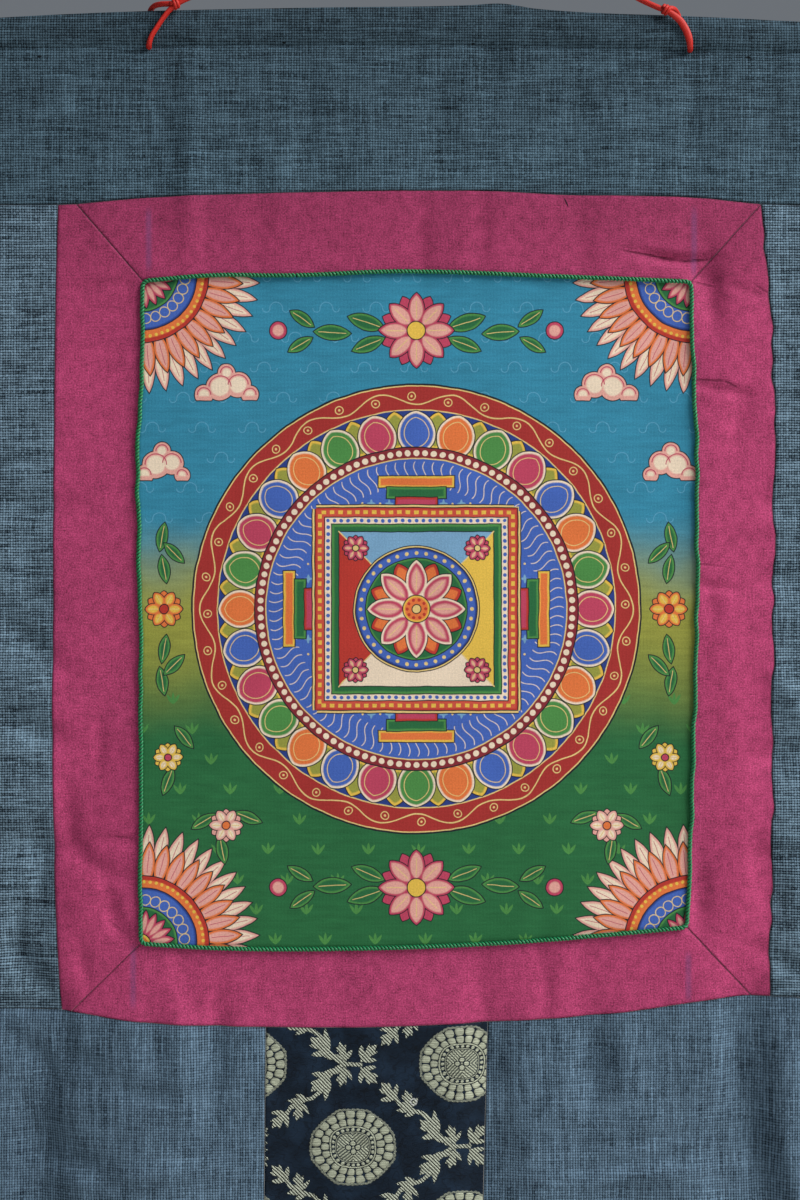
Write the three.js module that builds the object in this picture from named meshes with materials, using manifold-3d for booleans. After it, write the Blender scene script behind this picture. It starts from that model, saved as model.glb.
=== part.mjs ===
import * as THREE from 'three';
import { mergeVertices } from 'three/addons/utils/BufferGeometryUtils.js';
import Module from 'manifold-3d';

// A small thangka: a painted canvas in a mitred pink border, set into a grey cloth
// scroll with a rod pocket along its top, and hung by a satin cord.
// Millimetres. The origin is where a nail bears on the hanging cord. X runs across
// the cloth, Z is up, and the painted front faces -Y.

const wasm = await Module();
wasm.setup();

// Driving dimensions
const CLOTH_THICK = 1.6;
const CANVAS_THICK = 1.2;
const SEAM_GAP = 0.3;
const PIPING_DIAMETER = 3;
const CORD_DIAMETER = 2.8;
const CORD_SIDES = 8;
const PIPING_SIDES = 6;
const HOLE_DIAMETER = 3.5;
const HOLE_SIDES = 12;
const HOLE_DEPTH = 12;
const HEM_LEFT = -250;
const HEM_RIGHT = 250;

// The batten hidden in the pocket holds the header flat, and the folds grow below it.
const FLAT_ABOVE = -92;
const FREE_BELOW = -150;

const lerp = THREE.MathUtils.lerp;

// Seams and hems. Each is a smooth curve through a few points of the cloth.
function curve(rows, from, to) {
  const sorted = [...rows].sort((a, b) => a[from] - b[from]);
  const cubic = new THREE.CubicInterpolant(
    sorted.map((row) => row[from]),
    sorted.map((row) => row[to]),
    1,
  );
  return (at) => cubic.evaluate(at)[0];
}

const topEdge = curve([
  { x: -250, z: -71.4 },
  { x: -158, z: -66.5 },
  { x: -58, z: -64 },
  { x: 27, z: -62.7 },
  { x: 42, z: -61.8 },
  { x: 60, z: -64.5 },
  { x: 142, z: -68.5 },
  { x: 250, z: -73.8 },
], 'x', 'z');

const pocketStitch = curve([
  { x: -250, z: -85.5 },
  { x: -133, z: -83 },
  { x: 0, z: -82.3 },
  { x: 60, z: -83 },
  { x: 137, z: -84.8 },
  { x: 250, z: -88 },
], 'x', 'z');

const headerSeam = curve([
  { x: -250, z: -161 },
  { x: -179, z: -162.5 },
  { x: -133, z: -159 },
  { x: -58, z: -156.3 },
  { x: 42, z: -155.8 },
  { x: 72, z: -157.4 },
  { x: 142, z: -159 },
  { x: 172, z: -162 },
  { x: 250, z: -162.5 },
], 'x', 'z');

const baseSeam = curve([
  { x: -252, z: -565.2 },
  { x: -177.5, z: -565.2 },
  { x: -138, z: -570.5 },
  { x: -55, z: -573.5 },
  { x: -8, z: -573 },
  { x: 98, z: -566.8 },
  { x: 163, z: -558.2 },
  { x: 177, z: -558.2 },
  { x: 252, z: -559.5 },
], 'x', 'z');

const bottomHem = curve([
  { x: -252, z: -789 },
  { x: -140, z: -791 },
  { x: 20, z: -790 },
  { x: 130, z: -788.5 },
  { x: 252, z: -790.5 },
], 'x', 'z');

const leftHem = curve([
  { z: -160, x: HEM_LEFT },
  { z: -330, x: -249 },
  { z: -566, x: -250.5 },
  { z: -790, x: -252 },
], 'z', 'x');

const rightHem = curve([
  { z: -160, x: HEM_RIGHT },
  { z: -350, x: 250.6 },
  { z: -560, x: 249.4 },
  { z: -790, x: 251.5 },
], 'z', 'x');

const pinkLeft = curve([
  { z: -162.5, x: -179 },
  { z: -210, x: -180.2 },
  { z: -340, x: -181.4 },
  { z: -490, x: -181.2 },
  { z: -540, x: -179 },
  { z: -565.2, x: -177.5 },
], 'z', 'x');

const pinkRight = curve([
  { z: -162, x: 172.5 },
  { z: -211, x: 177 },
  { z: -265, x: 179 },
  { z: -410, x: 178.2 },
  { z: -505, x: 178 },
  { z: -558.2, x: 177.3 },
], 'z', 'x');

// The four sides of the painting, where the green piping lies.
const corner = {
  topLeft: new THREE.Vector2(-136.5, -200.8),
  topRight: new THREE.Vector2(137.3, -201.2),
  bottomLeft: new THREE.Vector2(-137.2, -531.2),
  bottomRight: new THREE.Vector2(135.2, -523.4),
};

const paintingTop = curve([
  { x: corner.topLeft.x, z: corner.topLeft.y },
  { x: -101, z: -198 },
  { x: -61, z: -198.1 },
  { x: -8, z: -196.1 },
  { x: 68, z: -198.5 },
  { x: corner.topRight.x, z: corner.topRight.y },
], 'x', 'z');

const paintingBottom = curve([
  { x: corner.bottomLeft.x, z: corner.bottomLeft.y },
  { x: -106, z: -533.3 },
  { x: -68, z: -534.2 },
  { x: 27, z: -532 },
  { x: 74, z: -528.9 },
  { x: corner.bottomRight.x, z: corner.bottomRight.y },
], 'x', 'z');

const paintingLeft = curve([
  { z: corner.topLeft.y, x: corner.topLeft.x },
  { z: -252, x: -136.9 },
  { z: -278, x: -138.5 },
  { z: -340, x: -138.3 },
  { z: -410, x: -137.2 },
  { z: -490, x: -137.5 },
  { z: corner.bottomLeft.y, x: corner.bottomLeft.x },
], 'z', 'x');

const paintingRight = curve([
  { z: corner.topRight.y, x: corner.topRight.x },
  { z: -240, x: 138.3 },
  { z: -290, x: 140 },
  { z: -410, x: 139 },
  { z: -485, x: 136.8 },
  { z: corner.bottomRight.y, x: corner.bottomRight.x },
], 'z', 'x');

const doorLeft = curve([
  { z: -573, x: -75 },
  { z: -660, x: -75.8 },
  { z: -790, x: -76.6 },
], 'z', 'x');

const doorRight = curve([
  { z: -571, x: 36 },
  { z: -660, x: 33.6 },
  { z: -790, x: 31 },
], 'z', 'x');

// Where the mitres of the pink border end on its outer edge.
const MITRE_TOP_LEFT = -170;
const MITRE_TOP_RIGHT = 172.5;
const MITRE_BOTTOM_LEFT = -172.5;
const MITRE_BOTTOM_RIGHT = 168;
const PINK_TOP_LEFT = -179;
const PINK_BOTTOM_LEFT = -177.5;
const PINK_BOTTOM_RIGHT = 177.3;

// Folds of the hanging cloth: centre, lean from upright in degrees, reach along and
// across the fold, and how far it stands out to the front, or back if negative.
const folds = [
  { x: 37, z: -120, lean: 4, along: 26, across: 11, out: 0.9 },
  { x: -150, z: -125, lean: -8, along: 30, across: 24, out: 1.2 },
  { x: 190, z: -128, lean: 6, along: 34, across: 20, out: -1.4 },
  { x: -243, z: -300, lean: 1, along: 110, across: 11, out: 3 },
  { x: -198, z: -368, lean: 62, along: 22, across: 10, out: -1.6 },
  { x: -197, z: -420, lean: 74, along: 24, across: 12, out: 1.8 },
  { x: -200, z: -476, lean: 80, along: 24, across: 10, out: -1.8 },
  { x: -195, z: -530, lean: 22, along: 24, across: 10, out: -2.4 },
  { x: -160, z: -440, lean: 10, along: 26, across: 10, out: -1.4 },
  { x: -163, z: -505, lean: 40, along: 20, across: 10, out: 1.2 },
  { x: 160, z: -225, lean: 12, along: 40, across: 10, out: 1.2 },
  { x: 160, z: -430, lean: -6, along: 60, across: 9, out: 1.3 },
  { x: 187, z: -340, lean: 70, along: 20, across: 12, out: -1.6 },
  { x: 190, z: -440, lean: 66, along: 24, across: 12, out: -1.8 },
  { x: 240, z: -390, lean: 0, along: 120, across: 12, out: 3.2 },
  { x: 210, z: -520, lean: -14, along: 36, across: 12, out: 2.2 },
  { x: 0, z: -365, lean: 0, along: 150, across: 110, out: 2 },
  { x: -174, z: -640, lean: 2, along: 62, across: 11, out: -4 },
  { x: -215, z: -660, lean: -3, along: 70, across: 16, out: 3.6 },
  { x: -128, z: -680, lean: 4, along: 70, across: 18, out: 3 },
  { x: -92, z: -602, lean: 1, along: 26, across: 10, out: 1.6 },
  { x: -20, z: -700, lean: 0, along: 80, across: 24, out: 2.2 },
  { x: 43, z: -595, lean: 0, along: 24, across: 10, out: -2 },
  { x: 98, z: -600, lean: 2, along: 30, across: 12, out: -1.8 },
  { x: 122, z: -650, lean: -36, along: 34, across: 13, out: 2.6 },
  { x: 149, z: -585, lean: 0, along: 26, across: 10, out: 1.8 },
  { x: 170, z: -612, lean: 2, along: 56, across: 9, out: -5 },
  { x: 212, z: -640, lean: -4, along: 60, across: 15, out: 3.6 },
  { x: 75, z: -735, lean: -3, along: 60, across: 20, out: 3.4 },
  { x: 160, z: -740, lean: 3, along: 56, across: 18, out: 4 },
  { x: -235, z: -755, lean: 6, along: 46, across: 16, out: -2.6 },
  { x: 118, z: -765, lean: 0, along: 44, across: 13, out: -3 },
];

// How far the cloth's middle stands back from the wall plane at a point of the cloth.
function relief(x, z) {
  const free = THREE.MathUtils.smoothstep(-z, -FLAT_ABOVE, -FREE_BELOW);
  let out = 0;
  for (const fold of folds) {
    const lean = THREE.MathUtils.degToRad(fold.lean);
    const dx = x - fold.x;
    const dz = z - fold.z;
    const along = (dz * Math.cos(lean) + dx * Math.sin(lean)) / fold.along;
    const across = (dx * Math.cos(lean) - dz * Math.sin(lean)) / fold.across;
    out += fold.out * Math.exp(-(along * along + across * across) / 2);
  }
  return -free * out;
}

// Edges of a panel, each from 0 at its left or lower end to 1 at the other.
function across(zAt, from, to) {
  return (t) => {
    const x = lerp(from, to, t);
    return new THREE.Vector2(x, zAt(x));
  };
}

function upward(xAt, from, to) {
  return (t) => {
    const z = lerp(from, to, t);
    return new THREE.Vector2(xAt(z), z);
  };
}

function straight(from, to) {
  return (t) => from.clone().lerp(to, t);
}

// Several edges end to end. Each runs until its share of the whole.
function chain(pieces) {
  return (t) => {
    let start = 0;
    for (const piece of pieces) {
      if (t <= piece.until || piece === pieces[pieces.length - 1]) {
        return piece.edge((t - start) / (piece.until - start));
      }
      start = piece.until;
    }
    return null;
  };
}

// A point inside four edges, as far across and up them as the two shares say.
function inside(edges, u, v) {
  const point = edges.bottom(u).multiplyScalar(1 - v);
  point.addScaledVector(edges.top(u), v);
  point.addScaledVector(edges.left(v), 1 - u);
  point.addScaledVector(edges.right(v), u);
  point.addScaledVector(edges.bottom(0), -(1 - u) * (1 - v));
  point.addScaledVector(edges.bottom(1), -u * (1 - v));
  point.addScaledVector(edges.top(0), -(1 - u) * v);
  point.addScaledVector(edges.top(1), -u * v);
  return point;
}

// A closed sheet on a grid of places. Each place has x, z and half its thickness.
function sheetGeometry(columns, rows, placeAt) {
  const wide = columns + 1;
  const side = wide * (rows + 1);
  const positions = new Float32Array(side * 2 * 3);
  for (let j = 0; j <= rows; j += 1) {
    for (let i = 0; i <= columns; i += 1) {
      const place = placeAt(i / columns, j);
      const middle = relief(place.x, place.z);
      const front = (j * wide + i) * 3;
      const back = front + side * 3;
      positions.set([place.x, middle - place.half, place.z], front);
      positions.set([place.x, middle + place.half, place.z], back);
    }
  }
  const faces = [];
  for (let j = 0; j < rows; j += 1) {
    for (let i = 0; i < columns; i += 1) {
      const a = j * wide + i;
      const b = a + 1;
      const c = b + wide;
      const d = a + wide;
      faces.push(a, b, c, a, c, d);
      faces.push(a + side, c + side, b + side, a + side, d + side, c + side);
    }
  }
  const rim = [];
  for (let i = 0; i < columns; i += 1) rim.push(i);
  for (let j = 0; j < rows; j += 1) rim.push(j * wide + columns);
  for (let i = columns; i > 0; i -= 1) rim.push(rows * wide + i);
  for (let j = rows; j > 0; j -= 1) rim.push(j * wide);
  rim.forEach((p, k) => {
    const q = rim[(k + 1) % rim.length];
    faces.push(p, p + side, q + side, p, q + side, q);
  });
  const geometry = new THREE.BufferGeometry();
  geometry.setAttribute('position', new THREE.BufferAttribute(positions, 3));
  geometry.setIndex(faces);
  return geometry;
}

// A sewn panel, drawn in from its edges by half the gap to its neighbours.
function panelGeometry(edges, columns, rows, thick, endGap = SEAM_GAP) {
  const wide = inside(edges, 0, 0.5).distanceTo(inside(edges, 1, 0.5));
  const tall = inside(edges, 0.5, 0).distanceTo(inside(edges, 0.5, 1));
  const tallGap = edges.mitredSides ? endGap : SEAM_GAP;
  const wideGap = edges.mitredSides ? SEAM_GAP : endGap;
  return sheetGeometry(columns, rows, (share, row) => {
    const u = lerp(wideGap / 2 / wide, 1 - wideGap / 2 / wide, share);
    const v = lerp(tallGap / 2 / tall, 1 - tallGap / 2 / tall, row / rows);
    const point = inside(edges, u, v);
    return { x: point.x, z: point.y, half: thick / 2 };
  });
}

// Header: one cloth with its top turned over into a rod pocket and stitched down.
// Rows run from the seam up to the pocket's stitches, then up the pocket.
const headerRows = [
  { above: 'seam', share: 0, half: 0.8 },
  { above: 'seam', share: 0.2, half: 0.8 },
  { above: 'seam', share: 0.4, half: 0.8 },
  { above: 'seam', share: 0.6, half: 0.8 },
  { above: 'seam', share: 0.8, half: 0.8 },
  { above: 'seam', share: 0.96, half: 0.85 },
  { above: 'stitch', share: 0, half: 0.75 },
  { above: 'stitch', share: 0.08, half: 1.4 },
  { above: 'stitch', share: 0.24, half: 2.3 },
  { above: 'stitch', share: 0.5, half: 2.8 },
  { above: 'stitch', share: 0.78, half: 2.4 },
  { above: 'stitch', share: 0.93, half: 1.6 },
  { above: 'stitch', share: 1, half: 0.8 },
];
const HEADER_COLUMNS = 32;

// The cord goes through the header under its pocket, at these two places.
const cordHoles = [
  { x: -133.5, z: -83.5 },
  { x: 137, z: -84.9 },
];

function toSolid(geometry) {
  const bare = geometry.clone();
  bare.deleteAttribute('normal');
  bare.deleteAttribute('uv');
  const merged = mergeVertices(bare, 1e-4);
  const vertProperties = new Float32Array(merged.attributes.position.array);
  const triVerts = new Uint32Array(merged.index.array);
  return new wasm.Manifold(new wasm.Mesh({ numProp: 3, vertProperties, triVerts }));
}

function toGeometry(solid) {
  const mesh = solid.getMesh();
  const geometry = new THREE.BufferGeometry();
  const positions = new Float32Array(mesh.vertProperties);
  geometry.setAttribute('position', new THREE.BufferAttribute(positions, 3));
  geometry.setIndex(Array.from(mesh.triVerts));
  return geometry;
}

function headerGeometry() {
  const cloth = sheetGeometry(HEADER_COLUMNS, headerRows.length - 1, (share, j) => {
    const row = headerRows[j];
    const x = lerp(HEM_LEFT, HEM_RIGHT, share);
    const seam = headerSeam(x) + SEAM_GAP / 2;
    const stitch = pocketStitch(x);
    const z = row.above === 'seam'
      ? lerp(seam, stitch, row.share)
      : lerp(stitch, topEdge(x), row.share);
    return { x, z, half: row.half };
  });
  let solid = toSolid(cloth);
  for (const hole of cordHoles) {
    const radius = HOLE_DIAMETER / 2;
    const drill = new THREE.CylinderGeometry(radius, radius, HOLE_DEPTH, HOLE_SIDES);
    drill.translate(hole.x, 0, hole.z);
    solid = solid.subtract(toSolid(drill));
  }
  return toGeometry(solid);
}

// A curve that a tube follows with one step from each listed point to the next.
class ListedCurve extends THREE.CatmullRomCurve3 {
  getUtoTmapping(u) {
    return u;
  }
}

function tubeGeometry(points, radius, sides) {
  const section = new THREE.Shape();
  for (let k = 0; k < sides; k += 1) {
    const angle = (k / sides) * Math.PI * 2;
    const x = radius * Math.cos(angle);
    const y = radius * Math.sin(angle);
    if (k === 0) section.moveTo(x, y);
    else section.lineTo(x, y);
  }
  section.closePath();
  return new THREE.ExtrudeGeometry(section, {
    steps: points.length - 1,
    extrudePath: new ListedCurve(points),
    bevelEnabled: false,
  });
}

// Piping: once round the painting, from its butt joint at the top back to it.
const PIPING_JOINT_X = -60;
const PIPING_CORNER = 4;
const PIPING_STEP = 14;
const ARC_MIDDLE = 1 - Math.SQRT1_2;

function pipingGeometry() {
  const lift = CLOTH_THICK / 2 + SEAM_GAP + PIPING_DIAMETER / 2;
  const turn = PIPING_CORNER;
  const pull = turn * ARC_MIDDLE;
  const points = [];
  const add = (x, z) => points.push(new THREE.Vector3(x, relief(x, z) - lift, z));
  const runAcross = (zAt, from, to) => {
    const steps = Math.round(Math.abs(to - from) / PIPING_STEP);
    for (let k = 0; k <= steps; k += 1) {
      const x = lerp(from, to, k / steps);
      add(x, zAt(x));
    }
  };
  const runUpward = (xAt, from, to) => {
    const steps = Math.round(Math.abs(to - from) / PIPING_STEP);
    for (let k = 0; k <= steps; k += 1) {
      const z = lerp(from, to, k / steps);
      add(xAt(z), z);
    }
  };
  const round = (at, towardX, towardZ) => {
    add(at.x + towardX * pull, at.y + towardZ * pull);
  };
  runAcross(paintingTop, PIPING_JOINT_X + SEAM_GAP, corner.topRight.x - turn);
  round(corner.topRight, -1, -1);
  runUpward(paintingRight, corner.topRight.y - turn, corner.bottomRight.y + turn);
  round(corner.bottomRight, -1, 1);
  runAcross(paintingBottom, corner.bottomRight.x - turn, corner.bottomLeft.x + turn);
  round(corner.bottomLeft, 1, 1);
  runUpward(paintingLeft, corner.bottomLeft.y + turn, corner.topLeft.y - turn);
  round(corner.topLeft, 1, -1);
  runAcross(paintingTop, corner.topLeft.x + turn, PIPING_JOINT_X - SEAM_GAP);
  return tubeGeometry(points, PIPING_DIAMETER / 2, PIPING_SIDES);
}

// The satin cord, tied round the pocket at both sides. Its routes were laid by hand,
// and each loop goes from its knot over the pocket, through the hole and up the front.
const hangerRoute = [
  { x: -116.9, y: -4, z: -61.7 },
  { x: -108, y: -3.4, z: -57.4 },
  { x: -88, y: -2.3, z: -47 },
  { x: -66, y: -1.4, z: -34.9 },
  { x: -44, y: -0.7, z: -22.6 },
  { x: -24, y: -0.3, z: -11.6 },
  { x: -12, y: 0, z: -4.8 },
  { x: -5, y: 0, z: 0.1 },
  { x: 0, y: 0, z: 1.4 },
  { x: 5, y: 0, z: 0.1 },
  { x: 12, y: 0, z: -4.8 },
  { x: 24, y: -0.3, z: -11.8 },
  { x: 44, y: -0.7, z: -23 },
  { x: 66, y: -1.4, z: -35.4 },
  { x: 88, y: -2.3, z: -47.6 },
  { x: 104, y: -3, z: -56.3 },
  { x: 112, y: -3.5, z: -60.8 },
  { x: 120.9, y: -4, z: -65 },
];
const leftLoopRoute = [
  { x: -123.6, y: -3.5, z: -63.2 },
  { x: -127.5, y: -2.1, z: -62.9 },
  { x: -131, y: 0.4, z: -63 },
  { x: -133.2, y: 3.1, z: -64.8 },
  { x: -133.9, y: 4.5, z: -68.4 },
  { x: -134, y: 4.6, z: -73.5 },
  { x: -133.7, y: 4.6, z: -78.9 },
  { x: -133.5, y: 3.3, z: -82.2 },
  { x: -133.5, y: 0, z: -83.5 },
  { x: -133.4, y: -3.3, z: -82.2 },
  { x: -132.8, y: -4.6, z: -78.9 },
  { x: -130.6, y: -4.7, z: -74.4 },
  { x: -127.2, y: -4.7, z: -69.8 },
  { x: -123, y: -4.6, z: -65.9 },
];
const rightLoopRoute = [
  { x: 128.1, y: -3.5, z: -65.7 },
  { x: 131.6, y: -2.1, z: -65.2 },
  { x: 134.8, y: 0.4, z: -65.3 },
  { x: 136.8, y: 3.1, z: -66.9 },
  { x: 137.4, y: 4.5, z: -70.4 },
  { x: 137.4, y: 4.6, z: -75 },
  { x: 137.2, y: 4.6, z: -80.3 },
  { x: 137, y: 3.3, z: -83.6 },
  { x: 137, y: 0, z: -84.9 },
  { x: 136.7, y: -3.3, z: -83.6 },
  { x: 136, y: -4.6, z: -80.3 },
  { x: 134.4, y: -4.7, z: -76 },
  { x: 131.6, y: -4.7, z: -71.6 },
  { x: 127.6, y: -4.6, z: -68.2 },
];

function cordGeometry(route) {
  const points = route.map((at) => new THREE.Vector3(at.x, at.y, at.z));
  const halved = new ListedCurve(points).getPoints((points.length - 1) * 2);
  return tubeGeometry(halved, CORD_DIAMETER / 2, CORD_SIDES);
}

// Knots: a tight lump with the turns of the cord raised round it.
const KNOT_WIDE = 6;
const KNOT_TALL = 5.2;
const KNOT_TURN = 0.12;
const knots = [
  { name: 'knot_left', x: -120, y: -4.1, z: -63.5, lean: 25 },
  { name: 'knot_right', x: 124.3, y: -4.1, z: -66.2, lean: -25 },
];

function knotGeometry() {
  const geometry = new THREE.SphereGeometry(1, 14, 10);
  const position = geometry.attributes.position;
  const point = new THREE.Vector3();
  for (let k = 0; k < position.count; k += 1) {
    point.fromBufferAttribute(position, k);
    const turn = Math.atan2(point.z, point.x);
    const swell = 1 + KNOT_TURN * Math.cos(2 * turn + 2.4 * point.y) * (1 - point.y * point.y);
    position.setXYZ(
      k,
      (point.x * swell * KNOT_WIDE) / 2,
      (point.y * KNOT_TALL) / 2,
      (point.z * swell * KNOT_TALL) / 2,
    );
  }
  return geometry;
}

// Colours and finish, one material for each cloth or cord.
function cloth(color, roughness, metalness = 0) {
  return new THREE.MeshStandardMaterial({ color, roughness, metalness });
}

const greyCloth = cloth(0x4a6270, 0.9);
const pinkCloth = cloth(0x9d4066, 0.82);
const canvas = cloth(0x4f8070, 0.8);
const brocade = cloth(0x1a2634, 0.45, 0.1);
const greenCord = cloth(0x10603a, 0.55);
const redCord = cloth(0xd4241c, 0.35);

const thangka = new THREE.Group();

function addPiece(name, geometry, material) {
  const mesh = new THREE.Mesh(geometry, material);
  mesh.name = name;
  thangka.add(mesh);
  return mesh;
}

// Grey cloth and the brocade door. The door's corners on the seam and on the hem:
const DOOR_TOP = { left: -75, right: 36 };
const FOOT = { left: -252, doorLeft: -76.6, doorRight: 31, right: 251.5 };
const PANEL_ROWS = { side: 20, base: 12, door: 10 };

addPiece('header', headerGeometry(), greyCloth);

addPiece('side_left', panelGeometry({
  bottom: across(baseSeam, leftHem(baseSeam(HEM_LEFT)), PINK_BOTTOM_LEFT),
  top: across(headerSeam, HEM_LEFT, PINK_TOP_LEFT),
  left: upward(leftHem, baseSeam(HEM_LEFT), headerSeam(HEM_LEFT)),
  right: upward(pinkLeft, baseSeam(PINK_BOTTOM_LEFT), headerSeam(PINK_TOP_LEFT)),
}, 6, PANEL_ROWS.side, CLOTH_THICK), greyCloth);

addPiece('side_right', panelGeometry({
  bottom: across(baseSeam, PINK_BOTTOM_RIGHT, rightHem(baseSeam(HEM_RIGHT))),
  top: across(headerSeam, MITRE_TOP_RIGHT, HEM_RIGHT),
  left: upward(pinkRight, baseSeam(PINK_BOTTOM_RIGHT), headerSeam(MITRE_TOP_RIGHT)),
  right: upward(rightHem, baseSeam(HEM_RIGHT), headerSeam(HEM_RIGHT)),
}, 6, PANEL_ROWS.side, CLOTH_THICK), greyCloth);

addPiece('base_left', panelGeometry({
  bottom: across(bottomHem, FOOT.left, FOOT.doorLeft),
  top: across(baseSeam, leftHem(baseSeam(HEM_LEFT)), DOOR_TOP.left),
  left: upward(leftHem, bottomHem(FOOT.left), baseSeam(HEM_LEFT)),
  right: upward(doorLeft, bottomHem(FOOT.doorLeft), baseSeam(DOOR_TOP.left)),
}, 16, PANEL_ROWS.base, CLOTH_THICK), greyCloth);

addPiece('base_right', panelGeometry({
  bottom: across(bottomHem, FOOT.doorRight, FOOT.right),
  top: across(baseSeam, DOOR_TOP.right, rightHem(baseSeam(HEM_RIGHT))),
  left: upward(doorRight, bottomHem(FOOT.doorRight), baseSeam(DOOR_TOP.right)),
  right: upward(rightHem, bottomHem(FOOT.right), baseSeam(HEM_RIGHT)),
}, 20, PANEL_ROWS.base, CLOTH_THICK), greyCloth);

addPiece('door', panelGeometry({
  bottom: across(bottomHem, FOOT.doorLeft, FOOT.doorRight),
  top: across(baseSeam, DOOR_TOP.left, DOOR_TOP.right),
  left: upward(doorLeft, bottomHem(FOOT.doorLeft), baseSeam(DOOR_TOP.left)),
  right: upward(doorRight, bottomHem(FOOT.doorRight), baseSeam(DOOR_TOP.right)),
}, 8, PANEL_ROWS.door, CLOTH_THICK), brocade);

// Pink border, four strips mitred at the corners
function onSeam(zAt, x) {
  return new THREE.Vector2(x, zAt(x));
}

const outer = {
  topLeft: onSeam(headerSeam, MITRE_TOP_LEFT),
  topRight: onSeam(headerSeam, MITRE_TOP_RIGHT),
  bottomLeft: onSeam(baseSeam, MITRE_BOTTOM_LEFT),
  bottomRight: onSeam(baseSeam, MITRE_BOTTOM_RIGHT),
};
const MITRE_GAP = SEAM_GAP * Math.SQRT2;
const BORDER_LENGTHS = 20;
const SIDE_LENGTHS = 26;
const BORDER_BREADTHS = 4;
const CORNER_SHARE = 1 / SIDE_LENGTHS;

addPiece('border_top', panelGeometry({
  bottom: across(paintingTop, corner.topLeft.x, corner.topRight.x),
  top: across(headerSeam, MITRE_TOP_LEFT, MITRE_TOP_RIGHT),
  left: straight(corner.topLeft, outer.topLeft),
  right: straight(corner.topRight, outer.topRight),
}, BORDER_LENGTHS, BORDER_BREADTHS, CLOTH_THICK, MITRE_GAP), pinkCloth);

addPiece('border_bottom', panelGeometry({
  bottom: across(baseSeam, MITRE_BOTTOM_LEFT, MITRE_BOTTOM_RIGHT),
  top: across(paintingBottom, corner.bottomLeft.x, corner.bottomRight.x),
  left: straight(outer.bottomLeft, corner.bottomLeft),
  right: straight(outer.bottomRight, corner.bottomRight),
}, BORDER_LENGTHS, BORDER_BREADTHS, CLOTH_THICK, MITRE_GAP), pinkCloth);

addPiece('border_left', panelGeometry({
  mitredSides: true,
  bottom: straight(outer.bottomLeft, corner.bottomLeft),
  top: straight(outer.topLeft, corner.topLeft),
  left: chain([
    { until: CORNER_SHARE, edge: across(baseSeam, MITRE_BOTTOM_LEFT, PINK_BOTTOM_LEFT) },
    { until: 1 - CORNER_SHARE, edge: upward(pinkLeft, baseSeam(PINK_BOTTOM_LEFT), headerSeam(PINK_TOP_LEFT)) },
    { until: 1, edge: across(headerSeam, PINK_TOP_LEFT, MITRE_TOP_LEFT) },
  ]),
  right: upward(paintingLeft, corner.bottomLeft.y, corner.topLeft.y),
}, BORDER_BREADTHS, SIDE_LENGTHS, CLOTH_THICK, MITRE_GAP), pinkCloth);

addPiece('border_right', panelGeometry({
  mitredSides: true,
  bottom: straight(corner.bottomRight, outer.bottomRight),
  top: straight(corner.topRight, outer.topRight),
  left: upward(paintingRight, corner.bottomRight.y, corner.topRight.y),
  right: chain([
    { until: CORNER_SHARE, edge: across(baseSeam, MITRE_BOTTOM_RIGHT, PINK_BOTTOM_RIGHT) },
    { until: 1, edge: upward(pinkRight, baseSeam(PINK_BOTTOM_RIGHT), headerSeam(MITRE_TOP_RIGHT)) },
  ]),
}, BORDER_BREADTHS, SIDE_LENGTHS, CLOTH_THICK, MITRE_GAP), pinkCloth);

// Painted canvas and the green piping round it
addPiece('painting', panelGeometry({
  bottom: across(paintingBottom, corner.bottomLeft.x, corner.bottomRight.x),
  top: across(paintingTop, corner.topLeft.x, corner.topRight.x),
  left: upward(paintingLeft, corner.bottomLeft.y, corner.topLeft.y),
  right: upward(paintingRight, corner.bottomRight.y, corner.topRight.y),
}, 12, 14, CANVAS_THICK), canvas);

addPiece('piping', pipingGeometry(), greenCord);

// Satin cord and its knots
addPiece('hanging_cord', cordGeometry(hangerRoute), redCord);
addPiece('cord_loop_left', cordGeometry(leftLoopRoute), redCord);
addPiece('cord_loop_right', cordGeometry(rightLoopRoute), redCord);

for (const knot of knots) {
  const mesh = addPiece(knot.name, knotGeometry(), redCord);
  mesh.position.set(knot.x, knot.y, knot.z);
  mesh.rotation.y = THREE.MathUtils.degToRad(knot.lean);
}

export default thangka;
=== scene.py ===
"""A small thangka scroll painting: cloth, brocade, piping, painted canvas and satin cord."""

import functools
import math

import bpy
import numpy as np
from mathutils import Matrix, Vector


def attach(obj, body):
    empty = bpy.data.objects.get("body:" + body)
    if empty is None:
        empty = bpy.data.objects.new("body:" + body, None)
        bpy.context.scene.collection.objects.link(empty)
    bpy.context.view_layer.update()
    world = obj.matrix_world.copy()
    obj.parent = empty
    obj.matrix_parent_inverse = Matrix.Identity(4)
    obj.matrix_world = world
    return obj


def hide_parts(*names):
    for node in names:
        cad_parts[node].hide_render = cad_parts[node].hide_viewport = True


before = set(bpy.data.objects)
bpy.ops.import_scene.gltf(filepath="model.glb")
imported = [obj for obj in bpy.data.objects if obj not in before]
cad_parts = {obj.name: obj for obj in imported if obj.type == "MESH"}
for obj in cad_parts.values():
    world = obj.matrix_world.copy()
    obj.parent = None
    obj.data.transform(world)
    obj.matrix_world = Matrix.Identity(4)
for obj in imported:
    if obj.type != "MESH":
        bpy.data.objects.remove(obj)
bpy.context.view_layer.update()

# Sizes are in millimetres until a mesh is made. X runs across, Z is up, the front faces -Y.
MM = 0.001
FULL_TURN = 2 * math.pi
FRONT = 0.8
BACK = 0.2
SEAM_GAP = 0.1
HEM_LEFT, HEM_RIGHT = -250, 250
FLAT_ABOVE, FREE_BELOW = -92, -150
CORD_DIAMETER = 2.8

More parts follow.
